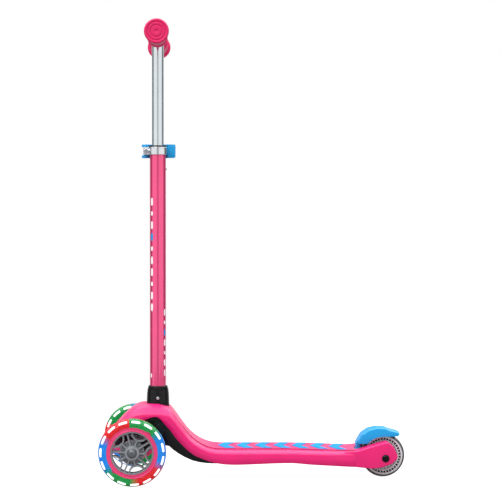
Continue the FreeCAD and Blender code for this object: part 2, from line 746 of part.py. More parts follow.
def spoke_solid(middle_y):
    """Boss, web, ten ribs, five lens loops and rim of a front wheel's hub."""
    centre = (front_x, middle_y, front_r)
    pieces = [
        revolved(
            [(bearing_r - 3, -hub_half + bearing_w), (bearing_r, -hub_half + bearing_w),
             (bearing_r, -hub_half), (bearing_r + BOSS, -hub_half), (bearing_r + BOSS, -WEB_HALF),
             (bearing_r + 10, -WEB_HALF), (bearing_r + 10, WEB_HALF), (bearing_r + BOSS, WEB_HALF),
             (bearing_r + BOSS, hub_half), (bearing_r, hub_half),
             (bearing_r, hub_half - bearing_w), (bearing_r - 3, hub_half - bearing_w)],
            centre, "y"),
        ring(core_in, core_in - RIM, hub_half * 2, (front_x, middle_y - hub_half, front_r), "y"),
    ]
    for i in range(SPOKES):
        for first, reach in ((RIB_ANGLE, core_in - 1), (LOOP_ANGLE, bearing_r + LOOP_R)):
            turn = Rotation(Vector(0, 1, 0), first + 360 / SPOKES * i)
            rib = block((-RIB / 2, -RIB_HALF, bearing_r + 1), (RIB / 2, RIB_HALF, reach))
            pieces.append(place(group(rib), centre, turn))
        turn = Rotation(Vector(0, 1, 0), LOOP_ANGLE + 360 / SPOKES * i)
        loop = ring(LOOP_R + RIB / 2, LOOP_R - RIB / 2, RIB_HALF * 2,
                    (0, -RIB_HALF, core_in), "y")
        inside_rim = rod(core_in - 1, RIB_HALF * 2, (0, -RIB_HALF, 0), "y")
        pieces.append(place(common(loop, inside_rim), centre, turn))
    return fuse(*pieces)


for side_name, side in (("left", -1), ("right", 1)):
    mid = cell("front_track") / 2 * side
    hub_at = (front_x, mid, front_r)
    light = light_solid(mid)
    tyre_blank = revolved(
        [(core_out, -tyre_half + 1.2), (core_out + 7.5, -tyre_half), (front_r - 3.4, -tyre_half + 3),
         (front_r - 1.1, -tyre_half + 6.5), (front_r, -2.5), (front_r, 2.5),
         (front_r - 1.1, tyre_half - 6.5), (front_r - 3.4, tyre_half - 3),
         (core_out + 7.5, tyre_half), (core_out, tyre_half - 1.2)], hub_at, "y")
    node(f"tyre_{side_name}", cut(tyre_blank, light_solid(mid)))
    node(f"light_ring_{side_name}", light)
    node(f"ring_core_{side_name}", revolved(
        [(core_in, -tyre_half + 1.5), (core_out, -tyre_half + 1.5),
         (core_out, tyre_half - 1.5), (core_in, tyre_half - 1.5)], hub_at, "y"))
    node(f"wheel_hub_{side_name}", spoke_solid(mid))
    node(f"bearings_{side_name}", group(
        ring(bearing_r, bore_r, bearing_w, (front_x, mid - hub_half, front_r), "y"),
        ring(bearing_r, bore_r, bearing_w, (front_x, mid + hub_half - bearing_w, front_r), "y")))
    node(f"magnet_spacer_{side_name}", ring(
        bearing_r - SPACER_STEP, axle_r, spacer_half * 2, (front_x, mid - spacer_half, front_r), "y"))

rear_half = cell("rear_tyre_width") / 2
REAR_TREAD, REAR_RIM = 4.5, 3.0
rear_core = rear_r - REAR_TREAD
node("rear_tyre", revolved(
    [(rear_core, -rear_half + 2), (rear_core + 2, -rear_half + 0.6), (rear_r - 1.2, -rear_half + 4),
     (rear_r, -3), (rear_r, 3), (rear_r - 1.2, rear_half - 4),
     (rear_core + 2, rear_half - 0.6), (rear_core, rear_half - 2)], (rear_x, 0, rear_r), "y"))
rear_hub = [
    ring(rear_core, rear_core - REAR_RIM, (rear_half - 1) * 2, (rear_x, -rear_half + 1, rear_r), "y"),
    ring(rear_core, bearing_r, WEB_HALF * 2, (rear_x, -WEB_HALF, rear_r), "y"),
    ring(bearing_r + BOSS, bearing_r, hub_half * 2, (rear_x, -hub_half, rear_r), "y"),
    ring(bearing_r, bearing_r - 3, (hub_half - bearing_w) * 2,
         (rear_x, -hub_half + bearing_w, rear_r), "y"),
]
REAR_RIBS, REAR_RIB_HALF = 24, 0.9
for i in range(REAR_RIBS):
    turn = Rotation(Vector(0, 1, 0), 360 / REAR_RIBS * i)
    rib = block((-REAR_RIB_HALF, -RIB_HALF, bearing_r + 1),
                (REAR_RIB_HALF, RIB_HALF, rear_core - 1))
    rear_hub.append(place(group(rib), (rear_x, 0, rear_r), turn))
node("rear_hub", fuse(*rear_hub))
node("rear_bearings", group(
    ring(bearing_r, bore_r, bearing_w, (rear_x, -hub_half, rear_r), "y"),
    ring(bearing_r, bore_r, bearing_w, (rear_x, hub_half - bearing_w, rear_r), "y")))
node("rear_bearing_spacer", ring(bearing_r - SPACER_STEP, axle_r, spacer_half * 2,
                                 (rear_x, -spacer_half, rear_r), "y"))
side_gap = fork_in - hub_half - 0.3
node("rear_spacers", group(
    ring(7, axle_r, side_gap, (rear_x, -fork_in, rear_r), "y"),
    ring(7, axle_r, side_gap, (rear_x, fork_in - side_gap, rear_r), "y")))
CAP_DEEP = 3.5
cap_outline = [(0, 0), (7, 0), (6.6, 1.6), (4.6, 3), (0, CAP_DEEP)]


def axle_cap(side):
    """A domed end cap outside one fork arm."""
    return revolved([(r, (fork_out + up) * side) for r, up in cap_outline], (rear_x, 0, rear_r), "y")


shank = rod(axle_r, fork_out * 2, (rear_x, -fork_out, rear_r), "y")
node("rear_axle", fuse(shank, axle_cap(-1)))
node("rear_axle_nut", axle_cap(1))

# ---- foot brake ----
# The guard hangs on the hinge pin and arches over the rear wheel. Its outline follows the hinge
# at the front and the wheel's radius everywhere else. Two cheeks close its sides.
KNUCKLE_R, KNUCKLE_HALF, PIN_END = 5.5, 11.0, 11
hinge_r = HINGE_PIN_R + cell("running_gap")
node("brake_pin", rod(HINGE_PIN_R, (fork_in + PIN_END) * 2, (hinge_x, -fork_in - PIN_END, hinge_z), "y"))
guard_in = rear_r * 2 + cell("brake_gap") + 0.6
GUARD_HALF, CHEEK_IN, GUARD_ROOM = 20.0, 14.6, 6.0
GUARD_TOP = [
    (-1.0125, 1.0), (-0.7, 1.2125), (-0.375, 1.3), (0.075, 1.295), (0.3, 1.2), (0.575, 1.135),
    (0.775, 1.05), (0.7, 0.95), (0.5, 0.9), (0.2, 0.895), (-0.25, 0.865), (-0.45, 0.785),
    (-0.625, 0.6575), (-0.75, 0.565),
]
guard_outline = [(hinge_x - 0.75, hinge_z + 5.5), (hinge_x - 1.75, hinge_z + 17.5)]
guard_outline += [(rear_x + rear_r * across_, rear_r + rear_r * up) for across_, up in GUARD_TOP]
guard_outline += [(hinge_x + 9.25, hinge_z + 13.1), (hinge_x + 7.25, hinge_z + 5.5)]
wheel_room = rod(rear_r + GUARD_ROOM, CHEEK_IN * 2, (rear_x, -CHEEK_IN, rear_r), "y")
knuckle = rod(KNUCKLE_R, KNUCKLE_HALF * 2, (hinge_x, -KNUCKLE_HALF, hinge_z), "y")
stem = block((hinge_x - 4, -KNUCKLE_HALF, hinge_z), (hinge_x + 4.5, KNUCKLE_HALF, hinge_z + 17))
ROOM_BACK, ROOM_UP = 0.7, 12.9
side_room = [
    block((hinge_x - 14, low, hinge_z - 10), (rear_x - rear_r * ROOM_BACK, high, hinge_z + ROOM_UP))
    for low, high in ((-GUARD_HALF - 1, -KNUCKLE_HALF), (KNUCKLE_HALF, as_size(GUARD_HALF + 1)))
]
PAD_HALF, PAD_DEEP, PAD_REST = 11.0, 1.6, 0.6
pad_low, pad_high = (rear_x - 10, -PAD_HALF), (rear_x + 10, PAD_HALF)
node("brake_pad", block((*pad_low, guard_in), (*pad_high, guard_in + PAD_DEEP)))
pad_room = block((*pad_low, guard_in - PAD_REST), (*pad_high, guard_in + PAD_DEEP))
arch = cut(slab(guard_outline, CHEEK_IN * 2), wheel_room, *side_room)
node("brake_guard", cut(fuse(arch, knuckle, stem), pad_room,
                        rod(hinge_r, 60, (hinge_x, -30, hinge_z), "y")))
cheek_y = (GUARD_HALF + CHEEK_IN) / 2
for label, side in (("brake_cheek_left", -1), ("brake_cheek_right", 1)):
    cheek = slab(guard_outline, GUARD_HALF - CHEEK_IN, cheek_y * side)
    foot_room = block((hinge_x - 14, cheek_y * side - 5, hinge_z - 10),
                      (rear_x - rear_r * ROOM_BACK, cheek_y * side + 5, hinge_z + ROOM_UP))
    node(label, cut(cheek, foot_room))
COIL_DEEP = 4.0
coils = [
    ring(HINGE_PIN_R + 2, HINGE_PIN_R + 0.3, COIL_DEEP, (hinge_x, y, hinge_z), "y")
    for y in (-KNUCKLE_HALF - 0.6 - COIL_DEEP, KNUCKLE_HALF + 0.6)
]
node("brake_springs", group(*coils))

# ---- check and write ----
doc.recompute()
faults = [o.Label for o in doc.Objects if {"Invalid", "Error"} & set(o.State)]
faults += [o.Label for o in nodes if o.Shape.isNull() or not o.Shape.isValid()]
if faults:
    raise SystemExit(f"failed: {faults}")
os.makedirs("parts", exist_ok=True)
for obj in nodes:
    obj.Shape.exportStep(f"parts/{obj.Label}.step")
box = Part.makeCompound([o.Shape for o in nodes]).BoundBox
extent = (box.XMin, box.XMax, box.YMin, box.YMax, box.ZMin, box.ZMax)
print(len(nodes), "nodes", [round(v, 2) for v in extent])
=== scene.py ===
# %% [markdown]
# A child's kick scooter with three wheels: a pink moulded deck shaped like a lazy S, two lit
# wheels in front, one under a foot brake behind, and a handlebar that slides in a column.
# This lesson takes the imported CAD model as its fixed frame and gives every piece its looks.
# It uses meshes from short lists of corners, lathed profiles, lofted sections and, for all
# that repeats, Geometry Nodes.

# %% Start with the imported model
import math

import bmesh
import bpy
from mathutils import Matrix, Vector


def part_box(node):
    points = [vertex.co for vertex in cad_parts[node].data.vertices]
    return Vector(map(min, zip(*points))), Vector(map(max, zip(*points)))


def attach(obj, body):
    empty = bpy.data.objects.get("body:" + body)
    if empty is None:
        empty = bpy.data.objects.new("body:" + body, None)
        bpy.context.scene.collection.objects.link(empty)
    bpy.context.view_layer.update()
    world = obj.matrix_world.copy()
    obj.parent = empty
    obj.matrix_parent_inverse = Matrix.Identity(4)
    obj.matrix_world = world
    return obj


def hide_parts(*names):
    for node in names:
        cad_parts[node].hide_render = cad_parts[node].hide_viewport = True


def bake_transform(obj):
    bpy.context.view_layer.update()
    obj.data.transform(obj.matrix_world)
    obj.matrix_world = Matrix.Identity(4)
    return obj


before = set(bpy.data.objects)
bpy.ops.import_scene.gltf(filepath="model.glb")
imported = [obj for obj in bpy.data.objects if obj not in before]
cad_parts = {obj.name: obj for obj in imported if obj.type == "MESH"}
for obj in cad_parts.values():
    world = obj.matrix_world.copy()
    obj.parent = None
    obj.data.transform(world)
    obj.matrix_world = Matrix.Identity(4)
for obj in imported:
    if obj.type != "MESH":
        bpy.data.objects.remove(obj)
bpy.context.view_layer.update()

# %% [markdown]
# The maker's drawings are in millimetres and Blender's unit is the metre, so every mesh here is
# written in millimetres and shrunk once, when it is made. The CAD boxes say where things are:
# the middle of a wheel's box is its axle, and the middle of the tube's box is the column.

# %% Read the places that the pieces share
MM = 0.001
SIDES = ("left", "right")


def span(node):
    """Lowest and highest corner of a CAD node, in millimetres."""
    low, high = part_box(node)
    return low / MM, high / MM


def middle(node):
    low, high = span(node)
    return (low + high) / 2


def half_size(node, axis):
    """Half of a CAD node's extent along an axis."""
    low, high = span(node)
    return (high["xyz".index(axis)] - low["xyz".index(axis)]) / 2


FRONT = {side: middle(f"tyre_{side}") for side in SIDES}
AXLE = Vector((FRONT["left"].x, 0, FRONT["left"].z))
REAR = middle("rear_tyre")
FRONT_R, REAR_R = half_size("tyre_left", "z"), half_size("rear_tyre", "z")
COLUMN, HINGE = middle("upper_tube"), middle("brake_pin")
ON_COLUMN, ON_BAR = (COLUMN.x, 0, 0), (COLUMN.x, 0, middle("crossbar").z)
MOUTH = span("outer_tube")[1].z
DECK_TOP = span("grip_pads")[0].z
CROWN = span("deck_shell")[1].z
print(f"front axle {AXLE.x:.1f}, {FRONT_R:.1f}; column {COLUMN.x:.1f}; mouth {MOUTH:.1f}")

# %% [markdown]
# Everything that is turned, bent or cut below goes through a few helpers. The first cleans a
# mesh: it merges doubles, turns every face outwards, and keeps an edge crisp only where its two
# faces meet at a clear angle. The others make an object from corners and faces, bake its
# modifiers, round its edges, join it to others, and cut tools out of it.

# %% Make and clean a mesh
CRISP, SAME_PLACE = math.radians(38), 1e-6


def clean(obj, crisp=CRISP):
    """Merges doubles, turns faces outwards, and shades smooth with crisp edges."""
    mesh = bmesh.new()
    mesh.from_mesh(obj.data)
    bmesh.ops.remove_doubles(mesh, verts=mesh.verts, dist=SAME_PLACE)
    bmesh.ops.dissolve_degenerate(mesh, edges=mesh.edges, dist=SAME_PLACE)
    bmesh.ops.recalc_face_normals(mesh, faces=mesh.faces)
    for face in mesh.faces:
        face.smooth = True
    for edge in mesh.edges:
        edge.smooth = edge.is_manifold and edge.calc_face_angle(0) < crisp
    mesh.to_mesh(obj.data)
    mesh.free()
    return obj


def new_object(name, mesh):
    obj = bpy.data.objects.new(name, mesh)
    bpy.context.scene.collection.objects.link(obj)
    return obj


def piece(name, corners, faces, finish=None, crisp=CRISP):
    """A mesh object from corners in millimetres."""
    mesh = bpy.data.meshes.new(name)
    mesh.from_pydata([Vector(c) * MM for c in corners], [], faces)
    if finish:
        mesh.materials.append(finish)
    return clean(new_object(name, mesh), crisp)


def bake(obj):
    """Turns the evaluated modifiers into plain mesh and removes them."""
    bpy.context.view_layer.update()
    graph = bpy.context.evaluated_depsgraph_get()
    mesh = bpy.data.meshes.new_from_object(obj.evaluated_get(graph))
    obj.modifiers.clear()
    obj.data = mesh
    return obj


def soften(obj, width, segments=2, angle=30):
    """Rounds every edge sharper than an angle, as a mould or a file would."""
    bevel = obj.modifiers.new("soften", "BEVEL")
    bevel.width, bevel.segments = width * MM, segments
    bevel.limit_method, bevel.angle_limit = "ANGLE", math.radians(angle)
    return clean(bake(obj))


def join(name, objs):
    """One object from several, keeping each one's finishes."""
    slots, mesh = [], bmesh.new()
    for obj in objs:
        own = list(obj.data.materials)
        for finish in own:
            if finish not in slots:
                slots.append(finish)
        start = len(mesh.faces)
        mesh.from_mesh(obj.data)
        mesh.faces.ensure_lookup_table()
        for face in mesh.faces[start:]:
            face.material_index = slots.index(own[face.material_index]) if own else 0
        bpy.data.objects.remove(obj)
    made = bpy.data.meshes.new(name)
    mesh.to_mesh(made)
    mesh.free()
    for finish in slots:
        made.materials.append(finish)
    return new_object(name, made)


def carve(obj, *tools, operation="DIFFERENCE"):
    """Cuts tools out of a piece, or keeps what it shares with them."""
    for tool in tools:
        step = obj.modifiers.new("carve", "BOOLEAN")
        step.object, step.operation, step.solver = tool, operation, "EXACT"
        bake(obj)
        bpy.data.objects.remove(tool)
    return clean(obj)


# %% [markdown]
# Half of the scooter is round: tubes, wheels, nuts, grips. A round piece is a profile of
# (radius, along) corners turned about an axis. A third number in a corner rounds it off by that
# radius first. A profile that starts and ends on the axis closes itself; any other is closed by
# joining its last corner to its first. Three short profiles come back often: a rod, which
# drills holes, a ringlet, and a half that is made whole by its mirror image.

# %% Turn a profile
AXES = {"x": ((0, 0, 1), (0, 1, 0), (1, 0, 0)), "y": ((1, 0, 0), (0, 0, 1), (0, 1, 0)),
        "z": ((1, 0, 0), (0, 1, 0), (0, 0, 1))}
LEAST_ANGLE, MOST_OF_EDGE = 0.01, 0.49


def rounded(corners, steps=4, closed=True):
    """A flat outline whose corners with a third number are rounded by that radius."""
    result, count = [], len(corners)
    for i, corner in enumerate(corners):
        here = Vector(corner[:2])
        radius = corner[2] if len(corner) > 2 else 0
        if not radius or (not closed and i in (0, count - 1)):
            result.append(here)
            continue
        back = Vector(corners[i - 1][:2]) - here
        on = Vector(corners[(i + 1) % count][:2]) - here
        half = max(back.angle(on) / 2, LEAST_ANGLE)
        reach = min(radius / math.tan(half), back.length * MOST_OF_EDGE, on.length * MOST_OF_EDGE)
        start, end = here + back.normalized() * reach, here + on.normalized() * reach
        for step in range(steps + 1):
            t = step / steps
            result.append(start * (1 - t) ** 2 + here * 2 * t * (1 - t) + end * t ** 2)
    return result


def turned(name, profile, axis, at, finish=None, steps=72):
    """Turns a profile of (radius, along) corners once round an axis through a point."""
    line = rounded(profile)
    count = len(line)
    ends_on_axis = abs(line[0].x) < SAME_PLACE and abs(line[-1].x) < SAME_PLACE
    across, up, along = (Vector(v) for v in AXES[axis])
    corners, faces = [], []
    for step in range(steps):
        angle = 2 * math.pi * step / steps
        out = across * math.cos(angle) + up * math.sin(angle)
        corners += [Vector(at) + out * p.x + along * p.y for p in line]
        a, b = step * count, (step + 1) % steps * count
        for i in range(count - 1 if ends_on_axis else count):
            j = (i + 1) % count
            faces.append((a + i, a + j, b + j, b + i))
    return piece(name, corners, faces, finish)


def rod(radius, low, high):
    return [(0, low), (radius, low), (radius, high), (0, high)]


def ringlet(outer, inner, low, high, edge=0.4):
    """The profile of a short tube with rounded edges."""
    return [(outer, low, edge), (outer, high, edge), (inner, high, edge), (inner, low, edge)]


def mirrored(half):
    """A profile made whole by its mirror image in the middle plane."""
    return half + [(radius, -along, *edge) for radius, along, *edge in half[::-1] if along]


def sided(profile, side):
    """A profile drawn for the right, side 1, or turned to the left, side -1."""
    return [(radius, along * side, *edge) for radius, along, *edge in profile]


# %% [markdown]
# The other half is plates and bars: an outline drawn on the side view and pulled across the
# scooter. The same rounding of corners serves, and a bevel then breaks the long edges. An
# outline is often easiest to draw about a point, such as an axle.

# %% Pull an outline across
def about(centre, outline, scale=1):
    """An outline drawn from a point, as (along, up) or with a rounding as a third number."""
    return [(centre[0] + x * scale, centre[2] + z * scale, *edge) for x, z, *edge in outline]


def pulled(name, outline, low, high, finish=None, axis="y", at=(0, 0, 0), bevel=0.0):
    """A plate with an outline in the plane square to an axis, from low to high along it."""
    across, up, along = (Vector(v) for v in AXES[axis])
    line = rounded(outline)
    count = len(line)
    corners = [
        Vector(at) + across * p.x + up * p.y + along * reach for reach in (low, high) for p in line
    ]
    faces = [tuple(range(count)), tuple(range(2 * count - 1, count - 1, -1))]
    faces += [(i, (i + 1) % count, (i + 1) % count + count, i + count) for i in range(count)]
    obj = piece(name, corners, faces, finish)
    return soften(obj, bevel) if bevel else obj


def bar(name, low, high, finish=None, bevel=0.0):
    """A block between two corners, with broken edges if it has a bevel."""
    (x0, y0, z0), (x1, y1, z1) = low, high
    return pulled(name, [(x0, z0), (x1, z0), (x1, z1), (x0, z1)], y0, y1, finish, bevel=bevel)


# %% [markdown]
# Node trees are built by two helpers. One fills a node's inputs by name, each with a plain
# value or with another node's output; the other adds a node and fills it.

# %% Fill and add nodes
def fill(tree, node, **values):
    """Sets a node's inputs and options; an input's spaces are written as underscores."""
    for name, value in values.items():
        label = name.replace("_", " ")
        if label not in node.inputs:
            setattr(node, name, value)
        elif isinstance(value, bpy.types.NodeSocket):
            tree.links.new(value, node.inputs[label])
        else:
            node.inputs[label].default_value = value
    return node


def add(tree, kind, **values):
    return fill(tree, tree.nodes.new(kind), **values)


def node_group(name, **inputs):
    """A Geometry Nodes group with a mesh in and out and some inputs, and what it is given."""
    tree = bpy.data.node_groups.new(name, "GeometryNodeTree")
    for label, kind in {"Geometry": "Geometry", **inputs}.items():
        tree.interface.new_socket(name=label, in_out="INPUT", socket_type=f"NodeSocket{kind}")
    tree.interface.new_socket(name="Geometry", in_out="OUTPUT", socket_type="NodeSocketGeometry")
    return tree, tree.nodes.new("NodeGroupInput").outputs


def close_group(tree, shape, material):
    """Realizes the copies, sets their material and hands the mesh out."""
    plain = add(tree, "GeometryNodeRealizeInstances", Geometry=shape)
    paint = add(tree, "GeometryNodeSetMaterial", Geometry=plain.outputs[0], Material=material)
    add(tree, "NodeGroupOutput", Geometry=paint.outputs[0])
    return tree


# %% [markdown]
# Anything that repeats is made once and handed to Geometry Nodes: light guides, spokes, ribs,
# teeth and pads. One small tree puts copies round an axle or along a line. Its inputs are the
# count, the turn or the step between two copies, and the place.

# %% Repeat a unit with Geometry Nodes
def repeat_tree():
    """Copies of the incoming mesh, each turned by Turns and moved by Step times its number."""
    tree, given = node_group("repeat", Count="Int", First="Vector", Turns="Vector",
                             Step="Vector", Place="Vector", Finish="Material")
    number = add(tree, "GeometryNodeInputIndex").outputs[0]
    shift, turn = (
        add(tree, "ShaderNodeVectorMath", operation="SCALE", Vector=given[name], Scale=number)
        for name in ("Step", "Turns")
    )
    angle = add(tree, "ShaderNodeVectorMath", operation="ADD", Vector=turn.outputs[0])
    tree.links.new(given["First"], angle.inputs[1])
    euler = add(tree, "FunctionNodeEulerToRotation", Euler=angle.outputs[0])
    points = add(tree, "GeometryNodePoints", Count=given["Count"], Position=shift.outputs[0])
    copies = add(tree, "GeometryNodeInstanceOnPoints", Points=points.outputs[0],
                 Instance=given["Geometry"], Rotation=euler.outputs[0])
    placed = add(tree, "GeometryNodeTransform", Geometry=copies.outputs[0],
                 Translation=given["Place"])
    return close_group(tree, placed.outputs[0], given["Finish"])


REPEAT = repeat_tree()


def run_tree(obj, tree, **values):
    """Adds a node modifier, sets its inputs by their identifiers, and bakes it."""
    modifier = obj.modifiers.new("nodes", "NODES")
    modifier.node_group = tree
    for item in tree.interface.items_tree:
        if item.item_type == "SOCKET" and item.in_out == "INPUT" and item.name in values:
            modifier[item.identifier] = values[item.name]
    obj.update_tag()
    return clean(bake(obj))


def around(unit, count, finish, at, first=0.0, axis="y"):
    """Copies a unit round an axis; the unit stands at the origin and points away from it."""
    spin = Vector(AXES[axis][2])
    return run_tree(unit, REPEAT, Count=count, First=spin * math.radians(first),
                    Turns=spin * math.radians(360 / count), Step=(0, 0, 0),
                    Place=Vector(at) * MM, Finish=finish)


def in_a_row(unit, count, finish, at, step):
    """Copies a unit along a line."""
    return run_tree(unit, REPEAT, Count=count, First=(0, 0, 0), Turns=(0, 0, 0),
                    Step=Vector(step) * MM, Place=Vector(at) * MM, Finish=finish)


def hand_over(obj, body, slot, *nodes):
    """Lets a finished piece ride on a body and stand for CAD nodes; the slot is not used."""
    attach(obj, body)
    if nodes:
        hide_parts(*nodes)
    triangles = sum(len(p.vertices) - 2 for p in obj.data.polygons)
    print(f"{obj.name}: {triangles} triangles on {body}")


# %% [markdown]
# A finish is a shader with the detail of the real surface. Injection-moulded plastic has a fine
# spark-eroded grain and slow, faint shifts of colour and gloss; rubber is duller and speckled;
# drawn tube carries fine lines along its length. One function builds them all: a slow noise
# moves the colour and the roughness a little, a fine noise drives the bump, and both read
# Object coordinates, so the pattern stays on the piece. What is the same all over a surface is
# set on the shader's own sockets.

# %% Build a finish
def linear(red, green, blue):
    """A screen colour of 0 to 255 as the linear colour that a shader wants."""
    return tuple(
        (c / 255 / 12.92 if c <= 10 else ((c / 255 + 0.055) / 1.055) ** 2.4)
        for c in (red, green, blue)
    ) + (1.0,)


def grey(level):
    return level, level, level, 1


def noise(tree, place, scale, detail):
    return add(tree, "ShaderNodeTexNoise", Scale=scale, Detail=detail, Vector=place).outputs["Fac"]


def between(tree, value, low, high, least=0.3, most=0.7):
    """Maps a value to a range; the least and the most are those of a noise."""
    return add(tree, "ShaderNodeMapRange", Value=value, From_Min=least, From_Max=most,
               To_Min=low, To_Max=high).outputs[0]


def mixed(tree, share, first, second):
    return add(tree, "ShaderNodeMix", data_type="RGBA", Factor=share, A=first,
               B=second).outputs[2]


def maths(tree, operation, *values):
    """A Math node; each value is a number or another node's output."""
    node = add(tree, "ShaderNodeMath", operation=operation)
    for value, target in zip(values, node.inputs):
        if isinstance(value, bpy.types.NodeSocket):
            tree.links.new(value, target)
        else:
            target.default_value = value
    return node.outputs[0]


def ramp(tree, share, stops):
    """A colour ramp; its stops are (position, colour), in order."""
    node = add(tree, "ShaderNodeValToRGB", Fac=share)
    row = node.color_ramp.elements
    for stop, (position, colour) in ((row[0], stops[0]), (row[1], stops[-1])):
        stop.position, stop.color = position, colour
    for position, colour in stops[1:-1]:
        row.new(position).color = colour
    return node.outputs[0]


def finish(name, colour, rough, shift=0.05, grain=900, depth=0.00004, stretch=(1, 1, 1), **shader):
    """A surface with slow shifts of colour and gloss and a fine grain."""
    material = bpy.data.materials.new(name)
    material.use_nodes = True
    tree = material.node_tree
    place = add(tree, "ShaderNodeTexCoord").outputs["Object"]
    stretched = add(tree, "ShaderNodeMapping", Scale=stretch, Vector=place).outputs[0]
    slow = noise(tree, place, 28, 4)
    shades = [(*[min(c * share, 1) for c in linear(*colour)[:3]], 1)
              for share in (1 - shift, 1 + shift)]
    bump = add(tree, "ShaderNodeBump", Distance=depth, Strength=0.6,
               Height=noise(tree, stretched, grain, 2))
    fill(tree, tree.nodes["Principled BSDF"], Normal=bump.outputs[0],
         Base_Color=mixed(tree, between(tree, slow, 0, 1), *shades),
         Roughness=between(tree, slow, rough * 0.85, min(rough * 1.15, 1)), **shader)
    return material


# %% [markdown]
# The scooter's own finishes. The pink column is lacquered over metal, so it has a clear coat;
# the handlebar tube is drawn and polished, with lines along it; the grips and pads are soft
# rubber with a little sheen; the hubs are glass-filled grey plastic with a coarse grain.

# %% List the finishes
PINK, BLUE = (240, 8, 116), (0, 158, 224)
pink_moulding = finish("pink_moulding", PINK, 0.36, Coat_Weight=0.2, Coat_Roughness=0.3)
pink_ring = finish("ring_pink", (236, 60, 120), 0.4, grain=1200)
pink_rubber = finish("pink_rubber", (228, 14, 100), 0.5, shift=0.08, grain=1500, depth=0.00008,
                     Sheen_Weight=0.25, Sheen_Roughness=0.4)
pink_lacquer = finish("pink_lacquer", (248, 44, 126), 0.22, shift=0.04, grain=2500, depth=0.00001,
                      Metallic=0.6, Coat_Weight=1.0, Coat_Roughness=0.1, Coat_IOR=1.85)
blue_moulding = finish("blue_moulding", BLUE, 0.38, Coat_Weight=0.1, Coat_Roughness=0.3)
blue_rubber = finish("blue_rubber", (0, 148, 216), 0.6, shift=0.08, grain=1600, depth=0.00008,
                     Specular_IOR_Level=0.2)
black_moulding = finish("black_moulding", (7, 8, 10), 0.24, shift=0.2, grain=700,
                        Specular_IOR_Level=0.3)
# Painted shade: a darker pink that the groove's faces take, standing in for the shade in the narrow
# recess.
groove_painted_shade = finish("groove_painted_shade", (150, 8, 66), 0.7, shift=0.1)
polished_tube = finish("anodised_tube", (224, 231, 236), 0.2, shift=0.03, grain=90,
                       depth=0.00001, stretch=(60, 60, 1), Metallic=1.0, Anisotropic=0.4)
polished_band = finish("polished_band", (226, 230, 235), 0.15, shift=0.03, grain=1200,
                       depth=0.00001, Metallic=1.0)
nut_grey = finish("nut_grey", (120, 124, 130), 0.3, shift=0.1, grain=1400, Metallic=0.85)
zinc = finish("zinc_steel", (196, 200, 204), 0.3, shift=0.06, grain=1400, Metallic=1.0)
spring_steel = finish("spring_steel", (150, 154, 160), 0.28, grain=2000, Metallic=1.0)
black_oxide = finish("black_oxide", (16, 16, 18), 0.2, shift=0.15, grain=1500, Metallic=0.7)
hub_grey = finish("hub_grey", (134, 138, 144), 0.4, shift=0.08, grain=800, depth=0.00006)
pale_hub = finish("pale_hub", (226, 229, 232), 0.34, Coat_Weight=0.2)
bronze = finish("bronze_bush", (148, 104, 52), 0.4, shift=0.12, grain=1800, Metallic=0.9)
white_print = finish("white_print", (250, 246, 248), 0.4, shift=0.02, grain=1600)
# Black rubber for the bearing seals; the rear hub's pocket ring also takes it as painted shade.
seal_and_pocket_shade = finish("seal_and_pocket_shade", (28, 28, 30), 0.6, shift=0.2, grain=1500)

# %% [markdown]
# The front tyres are clear castings with lights inside. Each tyre takes two finishes: a clear
# one for the casting, and a glow for the band behind it. The lamps are green, blue and red in
# turn, twice round, so the glow is a ramp over the angle about the axle, found from the
# height and reach of a point with an arctangent. The light guides themselves are white.

# %% Light the tyres
clear_tyre = finish("clear_tyre", (222, 230, 238), 0.1, shift=0.01, grain=60, depth=0.00001,
                    Transmission_Weight=1.0, IOR=1.3)
smoke_tyre = finish("smoke_tyre", (74, 76, 80), 0.3, shift=0.06, Coat_Weight=0.3)
LAMPS = [(0, 152, 66), (0, 138, 228), (230, 10, 20)]
SECTORS, LAMP_BLEND, GLOW_STRENGTH = 6, 0.05, 0.4
LAMP_START = {"left": -5, "right": -65}


def glow_finish(name, centre, first):
    """Lit sectors about an axle along Y, clockwise seen from the left."""
    material = finish(name, (255, 255, 255), 0.5)
    tree = material.node_tree
    place = add(tree, "ShaderNodeTexCoord").outputs["Object"]
    centred = add(tree, "ShaderNodeMapping", Location=-Vector(centre) * MM, Vector=place)
    parts = add(tree, "ShaderNodeSeparateXYZ", Vector=centred.outputs[0]).outputs
    start, end = math.radians(first), math.radians(first) + 2 * math.pi
    turn = maths(tree, "WRAP", maths(tree, "ARCTAN2", parts["X"], parts["Z"]), end, start)
    colours = [linear(*LAMPS[i % len(LAMPS)]) for i in range(SECTORS)]
    stops = [(0.0, colours[0])]
    for i in range(1, SECTORS):
        stops += [(i / SECTORS - LAMP_BLEND / 2, colours[i - 1]),
                  (i / SECTORS + LAMP_BLEND / 2, colours[i])]
    glow = ramp(tree, between(tree, turn, 0, 1, start, end), stops + [(1.0, colours[-1])])
    fill(tree, tree.nodes["Principled BSDF"], Base_Color=glow, Emission_Color=glow,
         Emission_Strength=GLOW_STRENGTH)
    return material


GLOW = {side: glow_finish(f"tyre_glow_{side}", FRONT[side], LAMP_START[side]) for side in SIDES}
light_guide = finish("light_guides", (255, 255, 255), 0.4, shift=0.01,
                     Emission_Color=(1, 0.97, 0.96, 1), Emission_Strength=0.8)

# %% [markdown]
# The studio. Polished round tubes show what surrounds them, so the surround is drawn as it would
# be built: two tall strips of light before the scooter and two behind it, dim gaps between them,
# and a bright ceiling. The camera itself sees plain white. The floor is grey to the scooter, so
# that nothing pink is washed out from below, and all but white to the camera, so only a faint
# shadow marks where the wheels stand.

